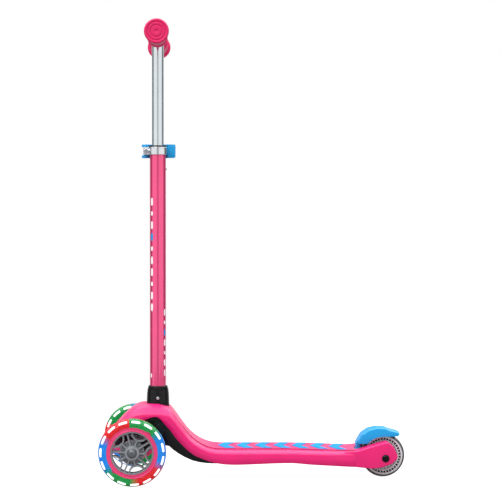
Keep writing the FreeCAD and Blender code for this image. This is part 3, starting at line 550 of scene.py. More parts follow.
# %% Set the studio
STRIP, FILL, CEILING = 0.8, 0.2, 2.2
STRIP_END, CEILING_START = (0.2, 0.42), (0.4, 0.7)
STRIPS = [(0.0, 0.5), (0.035, 0.55), (0.10, 1.25), (0.43, 1.25), (0.53, 0.2), (0.70, 0.2),
          (0.80, 1.0), (0.95, 1.0), (1.0, 0.35)]
FLOOR_GLOW, FLOOR = (0.15, 0.96), 850


def camera_ray(tree):
    return add(tree, "ShaderNodeLightPath").outputs["Is Camera Ray"]


def set_studio():
    """White for the camera; strips, gaps and a ceiling for everything that reflects."""
    world = bpy.data.worlds.new("studio")
    bpy.context.scene.world = world
    world.use_nodes = True
    tree = world.node_tree
    tree.nodes.clear()
    place = add(tree, "ShaderNodeTexCoord").outputs["Generated"]
    x, y, z = add(tree, "ShaderNodeSeparateXYZ", Vector=place).outputs
    azimuth = maths(tree, "ABSOLUTE", maths(tree, "ARCTAN2", x, maths(tree, "MULTIPLY", y, -1)))
    strips = ramp(tree, between(tree, azimuth, 0, 1, 0, math.pi),
                  [(position, grey(level * STRIP)) for position, level in STRIPS])
    height = between(tree, maths(tree, "ABSOLUTE", z), 0, 1, *STRIP_END)
    walls = mixed(tree, height, strips, grey(FILL))
    light = mixed(tree, between(tree, z, 0, 1, *CEILING_START), walls, grey(CEILING))
    soft = add(tree, "ShaderNodeBackground", Color=light)
    white = add(tree, "ShaderNodeBackground", Color=grey(1))
    both = add(tree, "ShaderNodeMixShader", Fac=camera_ray(tree), Shader=soft.outputs[0])
    tree.links.new(white.outputs[0], both.inputs[2])
    add(tree, "ShaderNodeOutputWorld", Surface=both.outputs[0])


set_studio()
floor_finish = finish("studio_floor", (118, 118, 118), 0.9, shift=0.005, grain=40, depth=0.00002,
                      Emission_Color=grey(1))
floor_tree = floor_finish.node_tree
fill(floor_tree, floor_tree.nodes["Principled BSDF"],
     Emission_Strength=between(floor_tree, camera_ray(floor_tree), *FLOOR_GLOW, 0, 1))
floor_corners = [(-FLOOR, -FLOOR, 0), (FLOOR, -FLOOR, 0), (FLOOR, FLOOR, 0), (-FLOOR, FLOOR, 0)]
floor = piece("studio_floor", floor_corners, [(0, 1, 2, 3)], floor_finish)
if floor.data.polygons[0].normal.z < 0:
    floor.data.flip_normals()

# %% [markdown]
# Two soft lamps shape the forms: a broad one high on the left front and a weaker one on the
# right, behind. The camera stands square to the scooter's left side, a long way off, with a
# long lens. It looks slightly down, and the picture is shifted sideways to frame the scooter.

# %% Place the lamps and the camera
def lamp(name, at, size, watts):
    data = bpy.data.lights.new(name, "AREA")
    data.shape, data.size, data.energy = "DISK", size, watts
    obj = new_object(name, data)
    obj.location = at
    obj.rotation_euler = (AIM - obj.location).to_track_quat("-Z", "Y").to_euler()


AIM = Vector((0, 0, 0.3))
lamp("key", (-1.5, -1.6, 2.6), 1.2, 26)
lamp("fill", (1.8, 1.9, 2.2), 1.6, 16)
LENS, SENSOR, SIDEWAYS, LOOK_DOWN = 113.6, 36.0, 0.128, 1.45
camera_data = bpy.data.cameras.new("camera")
camera_data.lens, camera_data.sensor_width, camera_data.shift_x = LENS, SENSOR, SIDEWAYS
camera = new_object("camera", camera_data)
camera.location = (-0.1231, -2.9, 0.4907)
camera.rotation_euler = (math.radians(90 - LOOK_DOWN), 0, 0)
bpy.context.scene.camera = camera
bpy.context.scene.view_settings.view_transform = "Standard"

# %% [markdown]
# The deck is one thin shell, open below. It starts as a blunt nose over the front wheels, rises
# to the hood that holds the column, falls along the neck and runs level until it drops a little
# to the rear wheel. A mould maker would draw cross-sections along the length, and so does this
# cell: each station gives its place, the crown, the lower edge, the half width, the half width
# of the flat panel, and how far the shoulder drops. The neck's heights are shares of the hood's
# rise. A cubic through the stations makes every section between them smooth.

# %% Draw the deck's stations
RISE, WELL_X = CROWN - DECK_TOP, REAR.x - REAR_R - 12.5
NECK = [
    (-80, 0.42, 0.32, 20, 6, 3), (-73, 0.57, 0.30, 31, 10, 6), (-62, 0.73, 0.34, 39, 15, 10),
    (-47, 0.89, 0.46, 44, 19, 13), (-33, 0.98, 0.59, 47, 22, 15), (-17, 1.0, 0.70, 48, 24, 16),
    (0, 1.0, 0.73, 48, 25, 16), (14, 0.955, 0.56, 48, 26, 14), (23, 0.90, 0.43, 48, 28, 13),
    (34, 0.72, 0.24, 48.5, 30, 12), (45, 0.535, 0.09, 49, 32, 11), (56, 0.352, -0.04, 50, 34, 10),
    (67, 0.222, -0.14, 51, 36, 9), (78, 0.128, -0.20, 52.5, 37, 8), (89, 0.062, -0.25, 54, 38, 7.5),
    (98, 0.026, -0.285, 55.2, 39, 7),
]
SAG, FALL = 2.5, 3.0
EDGE = DECK_TOP - 24.5
BOARD = [
    (COLUMN.x + 109, DECK_TOP + 0.5, EDGE - 0.4, 56.3, 39, 7),
    (COLUMN.x + 124, DECK_TOP, EDGE - SAG * 0.9, 57, 39, 7),
    (COLUMN.x + 148, DECK_TOP, EDGE - SAG * 1.1, 57, 39, 7),
    ((COLUMN.x + 118 + WELL_X) / 2, DECK_TOP, EDGE + 0.3, 57, 39, 7),
    (WELL_X - 84, DECK_TOP - 0.9, EDGE - SAG, 57, 39, 7),
    (WELL_X - 45, DECK_TOP - FALL * 0.7, EDGE - SAG * 2.0, 55.4, 39, 7),
    (WELL_X - 18, DECK_TOP - FALL, EDGE - SAG * 2.9, 50.6, 37.5, 6.5),
    (WELL_X, DECK_TOP - FALL, EDGE - SAG * 3.3, 48.5, 36, 6),
]
STATIONS = [
    (COLUMN.x + dx, DECK_TOP + crown * RISE, DECK_TOP + low * RISE, *rest)
    for dx, crown, low, *rest in NECK
] + BOARD
NOSE_X = STATIONS[0][0]


def station_at(x):
    """The five measures of the section at x, on smooth curves through the stations."""
    i = max(k for k in range(len(STATIONS) - 1) if STATIONS[k][0] <= x + SAME_PLACE)

    def slope(k, m):
        near, far = STATIONS[max(k - 1, 0)], STATIONS[min(k + 1, len(STATIONS) - 1)]
        return (far[m] - near[m]) / (far[0] - near[0])

    a, b = STATIONS[i], STATIONS[i + 1]
    gap = b[0] - a[0]
    t = min(max((x - a[0]) / gap, 0), 1)
    ease = (2 * t**3 - 3 * t**2 + 1, t**3 - 2 * t**2 + t, 3 * t**2 - 2 * t**3, t**3 - t**2)
    return [
        ease[0] * a[m] + ease[1] * gap * slope(i, m)
        + ease[2] * b[m] + ease[3] * gap * slope(i + 1, m)
        for m in range(1, 6)
    ]


# %% [markdown]
# The skin is a grid of those sections, from one lower lip over the top to the other. Where the
# flat panel meets the shoulder runs a narrow groove, with the shoulder a step lower and the
# groove's own faces given a darker pink as painted shade; it fades out as it climbs the neck.
# The first rows shrink to a point, which closes the nose softly, and the last row is closed by a
# flat back. A Solidify modifier then gives the skin its wall, as the mould does.

# %% Loft the shell
WALL, NOSE, NOSE_ROWS, ROW_STEP = 3.0, 9.0, 7, 3.6
GROOVE, GROOVE_WIDE, STEP = 2.0, 1.2, 1.1
GROOVE_START, GROOVE_FULL = 36, 52


def fade(value, start, end):
    t = min(max((value - start) / (end - start), 0), 1)
    return t * t * (3 - 2 * t)


def half_section(x, shrink=1.0):
    """From the middle of the top out to the lower lip, as (across, up) points."""
    crown, low, half, panel, drop = station_at(x)
    mid = (crown + low) / 2
    crown, low = mid + (crown - mid) * shrink, mid + (low - mid) * shrink
    half, panel, drop = half * shrink, panel * shrink, drop * shrink
    cut = fade(x - COLUMN.x, GROOVE_START, GROOVE_FULL)
    groove, step = GROOVE * cut, STEP * cut
    side = crown - drop
    lean = min((side - low) * 0.04, 1.2)
    wide = min(GROOVE_WIDE, panel * 0.15)
    line = [
        (0, crown), (panel * 0.5, crown), (panel - wide * 1.7, crown, 0.5),
        (panel - wide * 0.6, crown - 0.1 * cut), (panel - wide * 0.3, crown - groove),
        (panel + wide * 0.2, crown - groove), (panel + wide * 0.5, crown - groove * 0.8),
        (panel + wide, crown - 0.15 - step),
        ((panel + half) / 2, crown - drop * 0.36 - step * 0.4, 7),
        (half - 0.6 * shrink, side + 0.4, 5.5), (half, (side + low) / 2, 9),
        (half - lean, low + 0.6 * shrink), (half - lean - 0.5 * shrink, low),
    ]
    return [(p.x, p.y) for p in rounded(line, steps=5, closed=False)]


def deck_rows():
    """The place of each row and how far it is drawn in."""
    for i in range(1, NOSE_ROWS):
        turn = math.pi / 2 * i / NOSE_ROWS
        yield NOSE_X + NOSE * (1 - math.cos(turn)), math.sin(turn)
    x, end = NOSE_X + NOSE, WELL_X - 1.5
    count = round((end - x) / ROW_STEP)
    for i in range(count + 1):
        yield x + (end - x) * i / count, 1.0
    yield WELL_X - 0.5, 0.975
    yield WELL_X, 0.94


def deck_skin():
    tip_crown, tip_low = station_at(NOSE_X)[:2]
    corners, faces, width = [(NOSE_X, 0, (tip_crown + tip_low) / 2)], [], 0
    for x, shrink in deck_rows():
        half = half_section(x, shrink)
        row = [(x, -y, z) for y, z in half[::-1]] + [(x, y, z) for y, z in half[1:]]
        start, width = len(corners), len(row)
        corners += row
        for i in range(start, start + width - 1):
            faces.append((0, i, i + 1) if start == 1 else (i - width, i, i + 1, i + 1 - width))
    faces.append(tuple(range(len(corners) - width, len(corners))))
    skin = piece("deck_moulding", corners, faces, pink_moulding, crisp=math.radians(50))
    # Faces in the groove take the darker pink, which paints the groove's shade.
    skin.data.materials.append(groove_painted_shade)
    for face in skin.data.polygons:
        x, y, z = face.center / MM
        crown, _, _, panel, _ = station_at(max(x, NOSE_X))
        beside = abs(abs(y) - panel) < GROOVE_WIDE * 0.7
        if beside and z < crown - 0.2 and x > COLUMN.x + GROOVE_START:
            face.material_index = 1
    return skin


deck = deck_skin()
upper = (p for p in deck.data.polygons if p.center.z > 0.05)
if sum(p.normal.z * p.area for p in upper) < 0:
    deck.data.flip_normals()
shell = deck.modifiers.new("wall", "SOLIDIFY")
shell.thickness, shell.offset, shell.use_even_offset = WALL * MM, -1, True
shell.use_quality_normals = True
bake(deck)
print("deck shell:", len(deck.data.polygons), "faces")

# %% [markdown]
# Two arms carry the rear wheel. Each is a rounded triangle pulled across the side view, with
# soft edges and a bore for the axle cut by a Boolean. They are joined to the shell, which
# holds their front ends.

# %% Join the fork arms
ARM_IN, ARM_OUT = span("brake_pin")[1].y - 11, span("rear_axle_nut")[0].y
ARM = [
    (WELL_X - 22, EDGE - SAG * 3.2 + 1.5, 2), (WELL_X - 22, DECK_TOP - FALL - 2.5, 2),
    (WELL_X + 4, DECK_TOP - FALL - 0.5, 12),
] + about(REAR, [(-0.72, 0.5, 8), (0.1, 0.74, 7), (0.38, 0.5, 5), (0.585, 0.04, 7),
                 (0.3, -0.25, 8), (-0.2, -0.42, 12), (-0.6, -0.47, 10)], scale=REAR_R)
arms = []
for side in (-1, 1):
    low, high = sorted((ARM_IN * side, ARM_OUT * side))
    arm = soften(pulled("arm", ARM, low, high, pink_moulding), 4.2, 5, angle=50)
    bore = turned("bore", rod(4.3, -60, 60), "y", (REAR.x, 0, REAR.z), steps=32)
    arms.append(carve(arm, bore))
hand_over(join("deck_moulding", [deck] + arms), "deck", "pink_moulding", "deck_shell")

# %% [markdown]
# Under the flat panel the shell is stiffened by two long ribs and a row of cross ribs. They are
# thin moulded plates, and the row is one plate repeated.

# %% Set the ribs
RIB_PITCH, RIB_COUNT, RIB_HALF = 48, 5, 1.2
RIB_LINE = [(COLUMN.x + 108, DECK_TOP - 14), (WELL_X - 2, DECK_TOP - 14),
            (WELL_X - 2, DECK_TOP - 2.6 - FALL), (WELL_X - 84, DECK_TOP - 3.2),
            (COLUMN.x + 108, DECK_TOP - 2.6)]
cross = bar("cross", (-RIB_HALF, -46, -14), (RIB_HALF, 46, -4.6), pink_moulding, bevel=0.4)
ribs = [in_a_row(cross, RIB_COUNT, pink_moulding, (COLUMN.x + 118, 0, DECK_TOP), (RIB_PITCH, 0, 0))]
ribs += [pulled("long", RIB_LINE, y - RIB_HALF, y + RIB_HALF, pink_moulding, bevel=0.4)
         for y in (-20, 20)]
hand_over(join("deck_ribs", ribs), "deck", "pink_moulding")

# %% [markdown]
# Seven chevrons of blue rubber are set on the panel, points forward, to keep a shoe from
# slipping. A thin base and a smaller raised one on top make the pad; the row repeats it, and
# each corner then follows the panel's fall.

# %% Lay the chevron pads
PAD_COUNT, PAD_PITCH, PAD_HIGH = 7, 34, 1.2


def chevron(name, inset, low, high):
    tip, wing, reach, stroke = -13 + inset * 1.1, inset * 1.1, 33 - inset, 18 - inset * 2.2
    line = [
        (tip, 0, 2.5), (wing, -reach, 1.2), (wing + stroke, -reach, 1.2), (tip + stroke, 0, 2.5),
        (wing + stroke, reach, 1.2), (wing, reach, 1.2),
    ]
    return pulled(name, line, low, high, blue_rubber, axis="z", bevel=0.3)


pad = join("pad", [chevron("base", 0, -0.2, PAD_HIGH * 0.7), chevron("top", 1.5, 0, PAD_HIGH)])
first_pad = (span("grip_pads")[0].x + 13, 0, DECK_TOP)
pads = in_a_row(pad, PAD_COUNT, blue_rubber, first_pad, (PAD_PITCH, 0, 0))
pads.name = "chevron_pads"
for corner in pads.data.vertices:
    corner.co.z += (station_at(corner.co.x / MM)[0] - DECK_TOP) * MM
hand_over(pads, "deck", "blue_rubber", "grip_pads")

# %% [markdown]
# A black tray closes the neck from below and carries the hood. Its lower edge is one smooth
# curve that meets the deck's lip, so the outline is drawn once, pulled across and hollowed.
# Two side plates carry the same black edge forward under the hood's lip.

# %% Mould the neck tray
TRAY_LINE = [(108, -26.4), (98, -26.2), (88, -25.6), (76, -24), (63, -20.8), (50, -15),
             (38, -8.2), (27, -0.4), (16, 10.5), (9, 21)]
TRAY_HALF, TRAY_WALL = 46.2, 2.4
FOOT_OF_NECK = (COLUMN.x, 0, DECK_TOP)


def lip_line(start, end, step, dip):
    """Points above the shell's lower lip, along the neck."""
    return [(COLUMN.x + dx, station_at(COLUMN.x + dx)[1] + dip) for dx in range(start, end, step)]


def tray_outline(inset, dip):
    low = [(COLUMN.x + dx, DECK_TOP + dz + inset, 14) for dx, dz in TRAY_LINE]
    return [low[0][:2], *low[1:-1], low[-1][:2], *lip_line(12, 106, 6, dip)]


tray = pulled("neck_tray", tray_outline(0, 2.0), -TRAY_HALF, TRAY_HALF, black_moulding)
carve(tray, pulled("hollow", tray_outline(TRAY_WALL, 12), TRAY_WALL - TRAY_HALF,
                   TRAY_HALF - TRAY_WALL))
soften(tray, 0.5, 2, angle=50)
plate_line = lip_line(-64, 13, 4, 3) + about(
    FOOT_OF_NECK, [(13, 24), (2, 30, 6), (-30, 26, 8), (-54, 25.5, 6)])
plates = [pulled("plate", plate_line, y - 1.1, y + 1.1, black_moulding, bevel=0.4)
          for y in (-42.2, 42.2)]
hand_over(join("neck_tray_moulding", [tray] + plates), "deck", "black_moulding")

# %% [markdown]
# The column stands in a black moulded socket: a short tapered cup with raised staves, a chamfer
# at its mouth and a hole for the silver button. The staves are one bar repeated round it.

# %% Turn the socket and its staves
SEAT, SOCKET_TOP = span("column_socket")[0].z + 20, span("column_socket")[1].z
TUBE_R, SOCKET_R = half_size("outer_tube", "y"), half_size("column_socket", "y")
STAVES, STAVE_LEAN, STAVE_HIGH = 14, 1.0, 31
socket_line = [
    (0, SEAT - 20), (18.1, SEAT - 20, 0.8), (18.1, SEAT), (SOCKET_R - 0.2, SEAT, 0.6),
    (SOCKET_R - 0.2, SEAT + 3, 1), (SOCKET_R - 0.9, SEAT + 4.5, 1),
    (SOCKET_R - 1.7, SOCKET_TOP - 8, 2), (TUBE_R + 2.4, SOCKET_TOP - 0.6, 0.8),
    (TUBE_R + 1.4, SOCKET_TOP, 0.5), (TUBE_R + 0.06, SOCKET_TOP), (TUBE_R + 0.06, SEAT - 16),
    (0, SEAT - 16),
]
cup = turned("cup", socket_line, "z", ON_COLUMN, black_moulding, steps=96)
stave = piece("stave", [
    (SOCKET_R - depth - STAVE_LEAN * rise, y * (1 - 0.1 * rise), rise * STAVE_HIGH)
    for depth, half in ((2.4, 3.1), (0.35, 2.6)) for rise in (0, 1) for y in (-half, half)
], [(0, 1, 3, 2), (4, 6, 7, 5), (0, 4, 5, 1), (2, 3, 7, 6), (0, 2, 6, 4), (1, 5, 7, 3)],
    black_moulding)
soften(stave, 0.5, 2)
staves = around(stave, STAVES, black_moulding, (COLUMN.x, 0, SEAT + 7), axis="z")
carve(cup, turned("hole", rod(3.5, 0, 30), "y", (COLUMN.x, -30, middle("socket_button").z),
                  steps=32))
hand_over(join("column_cup", [cup, staves]), "deck", "black_moulding", "column_socket")

# %% [markdown]
# Snap buttons are turned steel with a domed end. Each has a flange inside that stops it.

# %% Turn the snap buttons
def snap_button(name, axis, foot, tip):
    """A button that points along an axis from its foot to its tip."""
    mid, out = middle(name), math.copysign(1, tip - foot)
    profile = [(0, foot), (4.5, foot, 0.2), (4.5, foot + out, 0.2), (3.0, foot + out),
               (3.0, tip - 0.2 * out, 1.6), (0, tip)]
    at = (0, mid.y, mid.z) if axis == "x" else (mid.x, 0, mid.z)
    hand_over(turned(f"{name}_turned", profile, axis, at, zinc, steps=40), name, "zinc_steel", name)


snap_button("height_button", "x", *(corner.x for corner in span("height_button")))
snap_button("socket_button", "y", *(corner.y for corner in span("socket_button")[::-1]))

# %% [markdown]
# The outer tube is aluminium under pink lacquer. It has a slit at its mouth, so that the clamp
# can close it, and four holes up its back for the height button.

# %% Turn the column tube
TUBE_IN, BUTTON_Z = TUBE_R - 1.5, middle("height_button").z
HOLES, HOLE_PITCH = 4, 50
tube = turned("column_tube", ringlet(TUBE_R, TUBE_IN, span("outer_tube")[0].z, MOUTH, 0.3), "z",
              ON_COLUMN, pink_lacquer, steps=128)
slit = bar("slit", (COLUMN.x - 18, -1, MOUTH - 28), (COLUMN.x - 8, 1, MOUTH + 2))
drills = [turned("drill", rod(3.3, 0, 25), "x", (COLUMN.x, 0, BUTTON_Z - HOLE_PITCH * i), steps=32)
          for i in range(HOLES)]
hand_over(carve(tube, slit, *drills), "deck", "pink_lacquer", "outer_tube")

# %% [markdown]
# The column carries printed marks. Here they are plain white strokes and two blue dots, up the
# front left and down the rear right. Each is a thin patch bent round the tube, built as a strip
# whose ends follow a half circle.

# %% Print the marks
INK, PRINT_COLUMNS = (-0.05, 0.12), 9


def stroke(wide, tall, azimuth, z, ink):
    """A rounded stroke on the tube; azimuth is from straight left towards the rear."""
    corners, faces = [], []
    for depth in INK:
        for i in range(PRINT_COLUMNS):
            u = -wide / 2 + wide * i / (PRINT_COLUMNS - 1)
            angle = math.radians(azimuth) + u / TUBE_R
            reach = tall / 2 - wide / 2 + math.sqrt(max((wide / 2) ** 2 - u * u, 0))
            corners += [(COLUMN.x + math.sin(angle) * (TUBE_R + depth),
                         -math.cos(angle) * (TUBE_R + depth), z + end) for end in (-reach, reach)]
    n = 2 * PRINT_COLUMNS
    for i in range(0, n - 2, 2):
        faces += [(i, i + 1, i + 3, i + 2), (n + i, n + i + 2, n + i + 3, n + i + 1),
                  (i, i + 2, n + i + 2, n + i), (i + 1, n + i + 1, n + i + 3, i + 3)]
    faces += [(0, n, n + 1, 1), (n - 2, n - 1, 2 * n - 1, 2 * n - 2)]
    return piece("mark", corners, faces, ink)


# Count, first height, pitch, usual and short length, width, azimuth, and which one is blue.
MARK_ROWS = [(10, 506, 21.5, 14, 8, 5.2, -46, 3), (7, 303, 18.5, 12, 7, 4.6, 57, 2)]
marks = [
    stroke(wide, short if i % 3 == 1 else tall, azimuth, first - pitch * i,
           blue_rubber if i == blue else white_print)
    for count, first, pitch, tall, short, wide, azimuth, blue in MARK_ROWS for i in range(count)
]
marks.append(stroke(3.2, 8, -52, 187, white_print))
hand_over(join("column_marks", marks), "deck", "pink_lacquer")

# %% [markdown]
# The quick-release clamp is a silver collar with two ears and a bolt through them. The collar is
# one outline seen from above, a ring with a gap, pulled up.

# %% Build the clamp's collar
BAND_LOW, BAND_HIGH = (corner.z for corner in span("clamp_band"))
BAND_R, BAND_IN, EAR_X, EAR_HALF, GAP = TUBE_R + 2.5, TUBE_R + 0.02, -27, 5, 1
BOLT = Vector((COLUMN.x - BAND_R - 4, 0, (BAND_LOW + BAND_HIGH) / 2))


def arc(radius, start, end, steps):
    """Points of an arc about the column, angles in degrees from the rear, seen from above."""
    turns = (math.radians(start + (end - start) * i / steps) for i in range(steps + 1))
    return [(radius * math.cos(turn), radius * math.sin(turn)) for turn in turns]


ear_angle = math.degrees(math.asin(EAR_HALF / BAND_R))
gap_angle = math.degrees(math.asin(GAP / BAND_IN))
collar = [(EAR_X, GAP), (EAR_X, EAR_HALF, 1.6), *arc(BAND_R, 180 - ear_angle, ear_angle - 180, 64),
          (EAR_X, -EAR_HALF, 1.6), (EAR_X, -GAP),
          *arc(BAND_IN, gap_angle - 180, 180 - gap_angle, 64)]
band = pulled("collar", collar, BAND_LOW, BAND_HIGH, polished_band, axis="z", at=ON_COLUMN)
soften(band, 0.7, 3, angle=50)
carve(band, turned("room", rod(2.2, -9, 9), "y", BOLT, steps=24))
hand_over(band, "deck", "polished_band", "clamp_band")

# %% [markdown]
# The bolt ends in a round nut with a hexagon socket. The socket is cut by a six-sided bar, which
# is the same turned profile with six steps. A black disc at the socket's floor is painted shade.

# %% Turn the clamp's nut
nut_low = span("clamp_nut")[0].y
nut = turned("nut", [(0, nut_low), (3.9, nut_low, 0.5), (4.5, nut_low + 0.7, 0.4),
                     (4.5, -5.05, 0.3), (0, -5.05)], "y", BOLT, polished_band, steps=48)
carve(nut, turned("key", rod(2.5, -12, nut_low + 2.2), "y", BOLT, steps=6))
# A black disc at the floor of the hex socket: painted shade in the socket.
socket_shade_disc = turned("socket_shade_disc", rod(2.6, nut_low + 1.6, nut_low + 2.6), "y", BOLT, black_oxide,
                  steps=24)
hand_over(join("clamp_nut_turned", [nut, socket_shade_disc]), "deck", "zinc_steel", "clamp_nut")

# %% [markdown]
# The bushing at the tube's mouth is a thin black collar that the inner tube slides through.

# %% Turn the bushing
UPPER_R = half_size("upper_tube", "y")
bush_low, bush_high = (corner.z for corner in span("tube_bushing"))
lip = half_size("tube_bushing", "y")
bushing = turned("column_bushing", [
    (UPPER_R + 0.1, bush_low), (TUBE_IN, bush_low), (TUBE_IN, MOUTH), (lip, MOUTH, 0.4),
    (lip, bush_high, 1.0), (UPPER_R + 0.1, bush_high, 0.5),
], "z", ON_COLUMN, black_moulding, steps=96)
hand_over(bushing, "deck", "black_moulding", "tube_bushing")

# %% [markdown]
# A blue lever with an eccentric lobe pulls the ears together. It is an arc that hugs the column,
# with a finger tab behind; what it shares with a rounded silhouette is kept, and four short
# lobes turn on its pin.

# %% Build the lever
LEVER_LOW, LEVER_HIGH = (corner.z for corner in span("clamp_lever"))
PIN = middle("clamp_pivot_pin")
GRIP_IN, GRIP_OUT, TAB_END = BAND_R + 1.1, BAND_R + 5.6, BAND_R + 14.9
outline = [
    *arc(GRIP_OUT, 141, 33, 40), (GRIP_OUT * math.cos(math.radians(30)) + 1.2, 11.6, 1.5),
    (TAB_END, 11.6, 2.2), (TAB_END, 7.1, 2.2),
    (GRIP_IN * math.cos(math.radians(22)) + 1.0, 7.1, 1.0), *arc(GRIP_IN, 26, 141, 40),
]
handle = pulled("handle", outline, LEVER_LOW, LEVER_HIGH, blue_moulding, axis="z", at=ON_COLUMN)
silhouette = pulled("silhouette", about(ON_COLUMN, [
    (-50, LEVER_LOW - 1), (-50, LEVER_HIGH + 1), (20, LEVER_HIGH + 1), (24, LEVER_HIGH, 3),
    (BAND_R + 15, LEVER_HIGH, 10), (BAND_R + 15, LEVER_LOW, 10), (24, LEVER_LOW, 3),
    (20, LEVER_LOW - 1)]), -40, 40)
carve(handle, silhouette, operation="INTERSECT")
soften(handle, 1.3, 3, angle=50)
lobes = [
    turned("lobe", ringlet(radius, 2.6, low, high, 1.2), "z", (PIN.x, PIN.y, 0), blue_moulding,
           steps=48)
    for low, high, radius in (
        (LEVER_LOW, BAND_LOW - 0.4, 8.4), (BAND_HIGH + 0.4, LEVER_HIGH, 8.4),
        (LEVER_LOW + 1, BOLT.z - 2.6, 5.5), (BOLT.z + 2.6, LEVER_HIGH - 1, 5.5))
]
hand_over(join("lever", [handle] + lobes), "clamp_lever", "blue_moulding", "clamp_lever")

# %% [markdown]
# The handlebar is a polished tube with a crossbar welded on. A weld bead fills the corner
# between the two. The lower end carries a white guide bush that stays inside the column.

# %% Turn the handlebar tubes
BAR_R, BAR_Z = half_size("crossbar", "z"), ON_BAR[2]
bar_ends = [corner.y for corner in span("crossbar")]
stem_line = ringlet(UPPER_R, UPPER_R - 1.5, span("upper_tube")[0].z, BAR_Z - 1, 0.3)
stem = turned("upper_stem", stem_line, "z", ON_COLUMN, polished_tube, steps=96)
carve(stem, turned("drill", rod(3.2, 0, 25), "x", (COLUMN.x, 0, BUTTON_Z), steps=32),
      turned("coping", rod(BAR_R - 1, -20, 20), "y", ON_BAR, steps=64))
hand_over(stem, "handlebar", "anodised_tube", "upper_tube")
cross = turned("cross_tube", ringlet(BAR_R, BAR_R - 2, *bar_ends), "y", ON_BAR, polished_tube,
               steps=96)
hand_over(cross, "handlebar", "anodised_tube", "crossbar")
BEAD_STEPS, BEAD_ROUND, BEAD_R = 72, 10, 1.5


def weld_bead():
    """A bead along the saddle where the upright meets the crossbar."""
    corners, faces = [], []
    for i in range(BEAD_STEPS):
        a = 2 * math.pi * i / BEAD_STEPS
        out = Vector((math.cos(a), math.sin(a), 0))
        x, y = UPPER_R * math.cos(a), UPPER_R * math.sin(a)
        z = -math.sqrt(max(BAR_R**2 - min(x * x, BAR_R**2 - 0.1), 0))
        ripple = BEAD_R + 0.12 * math.sin(a * 24)
        for k in range(BEAD_ROUND):
            t = 2 * math.pi * k / BEAD_ROUND
            corners.append(Vector((COLUMN.x + x, y, BAR_Z + z)) + out * ripple * math.cos(t)
                           + Vector((0, 0, ripple * math.sin(t))))
            here, on = i * BEAD_ROUND, (i + 1) % BEAD_STEPS * BEAD_ROUND
            j = (k + 1) % BEAD_ROUND
            faces.append((here + k, on + k, on + j, here + j))
    return piece("weld_bead", corners, faces, zinc)


hand_over(weld_bead(), "handlebar", "zinc_steel")
guide_line = ringlet(half_size("guide_bush", "y"), UPPER_R + 0.02,
                     *(corner.z for corner in span("guide_bush")), 0.6)
hand_over(turned("guide_sleeve", guide_line, "z", ON_COLUMN, white_print), "handlebar",
          "black_moulding", "guide_bush")

# %% [markdown]
# Each grip is a rubber sleeve between two flanges. Its closed end has stepped rings and a small
# dimple, and its barrel has fine ribs and a palm swell. The profile gives all that is round; the
# ribs are one bar repeated.

# %% Mould the grips
GRIP_RIBS = 28


def grip(side, name):
    near, far = sorted(abs(corner.y) for corner in span(name))
    flange, mid = half_size(name, "z"), (far + near) / 2
    line = [
        (0, far - 2.4), (1.8, far - 2.2, 0.8), (3.4, far - 0.9, 0.8), (8.8, far - 0.7, 0.5),
        (9.9, far - 1.9, 0.5), (11.0, far - 1.9, 0.5), (12.1, far - 0.7, 0.5),
        (14.4, far - 0.6, 0.5), (15.4, far - 1.8, 0.5), (16.6, far - 1.7, 0.5),
        (17.9, far - 0.3, 0.7), (flange - 1.8, far, 1.8), (flange, far - 2.4, 1.4),
        (flange - 0.3, far - 5, 1.5),
        (16.6, far - 8.4, 3), (15.4, far - 14, 6), (16.0, mid, 30), (15.3, near + 13, 6),
        (16.0, near + 8, 2), (18.5, near + 4.5, 1.2), (18.5, near, 1.2), (BAR_R + 0.05, near, 0.4),
        (BAR_R + 0.05, far - 3), (0, far - 3),
    ]
    sleeve = turned("sleeve", sided(line, side), "y", ON_BAR, pink_rubber, steps=96)
    top = ((near + 15, 15.0), (near + 19, 16.25), (mid, 16.65), (far - 20, 16.25), (far - 16, 15.0))
    corners = [(x, y * side, z) for y, z in top for x in (-0.65, 0.65)]
    corners += [(x, y * side, 14.4) for y in (near + 15, far - 16) for x in (-0.9, 0.9)]
    rib = piece("rib", corners, [
        (0, 2, 3, 1), (2, 4, 5, 3), (4, 6, 7, 5), (6, 8, 9, 7), (0, 1, 11, 10), (8, 12, 13, 9),
        (10, 11, 13, 12), (0, 10, 12, 8, 6, 4, 2), (1, 3, 5, 7, 9, 13, 11)], pink_rubber)
    ribs = around(rib, GRIP_RIBS, pink_rubber, ON_BAR)
    hand_over(join(f"{name}_rubber", [sleeve, ribs]), "handlebar", "pink_rubber", name)


grip(-1, "grip_left")
grip(1, "grip_right")

# %% [markdown]
# A front tyre is a clear casting round a glowing band. The casting is a lathed ring, the band a
# smaller ring inside it, and fifteen white light guides stand across the band like the rungs
# of a wheel. A guide is a short rounded bar, made once and repeated.

# %% Cast the front tyres
CORE_OUT, CORE_IN = FRONT_R - 15, FRONT_R - 22
TYRE_HALF = half_size("tyre_left", "y")
GUIDES, GUIDE_FIRST = 15, 7.2


def tyre(side, at):
    return turned(f"tyre_{side}_casting", mirrored([
        (CORE_OUT, 1.3 - TYRE_HALF, 0.8), (CORE_OUT + 7.5, -TYRE_HALF, 3),
        (FRONT_R - 3.4, 3.2 - TYRE_HALF, 2), (FRONT_R - 1.1, 7 - TYRE_HALF, 2), (FRONT_R, -2, 3),
    ]), "y", at, clear_tyre, steps=144)


def lamp_band(side, at):
    half = TYRE_HALF - 1.9
    return turned(f"lamp_band_{side}", mirrored([
        (CORE_OUT + 0.1, -half, 0.5), (FRONT_R - 5.5, -half, 1.2), (FRONT_R - 2.4, 4.2 - half, 2),
        (FRONT_R - 1.7, 0),
    ]), "y", at, GLOW[side], steps=144)


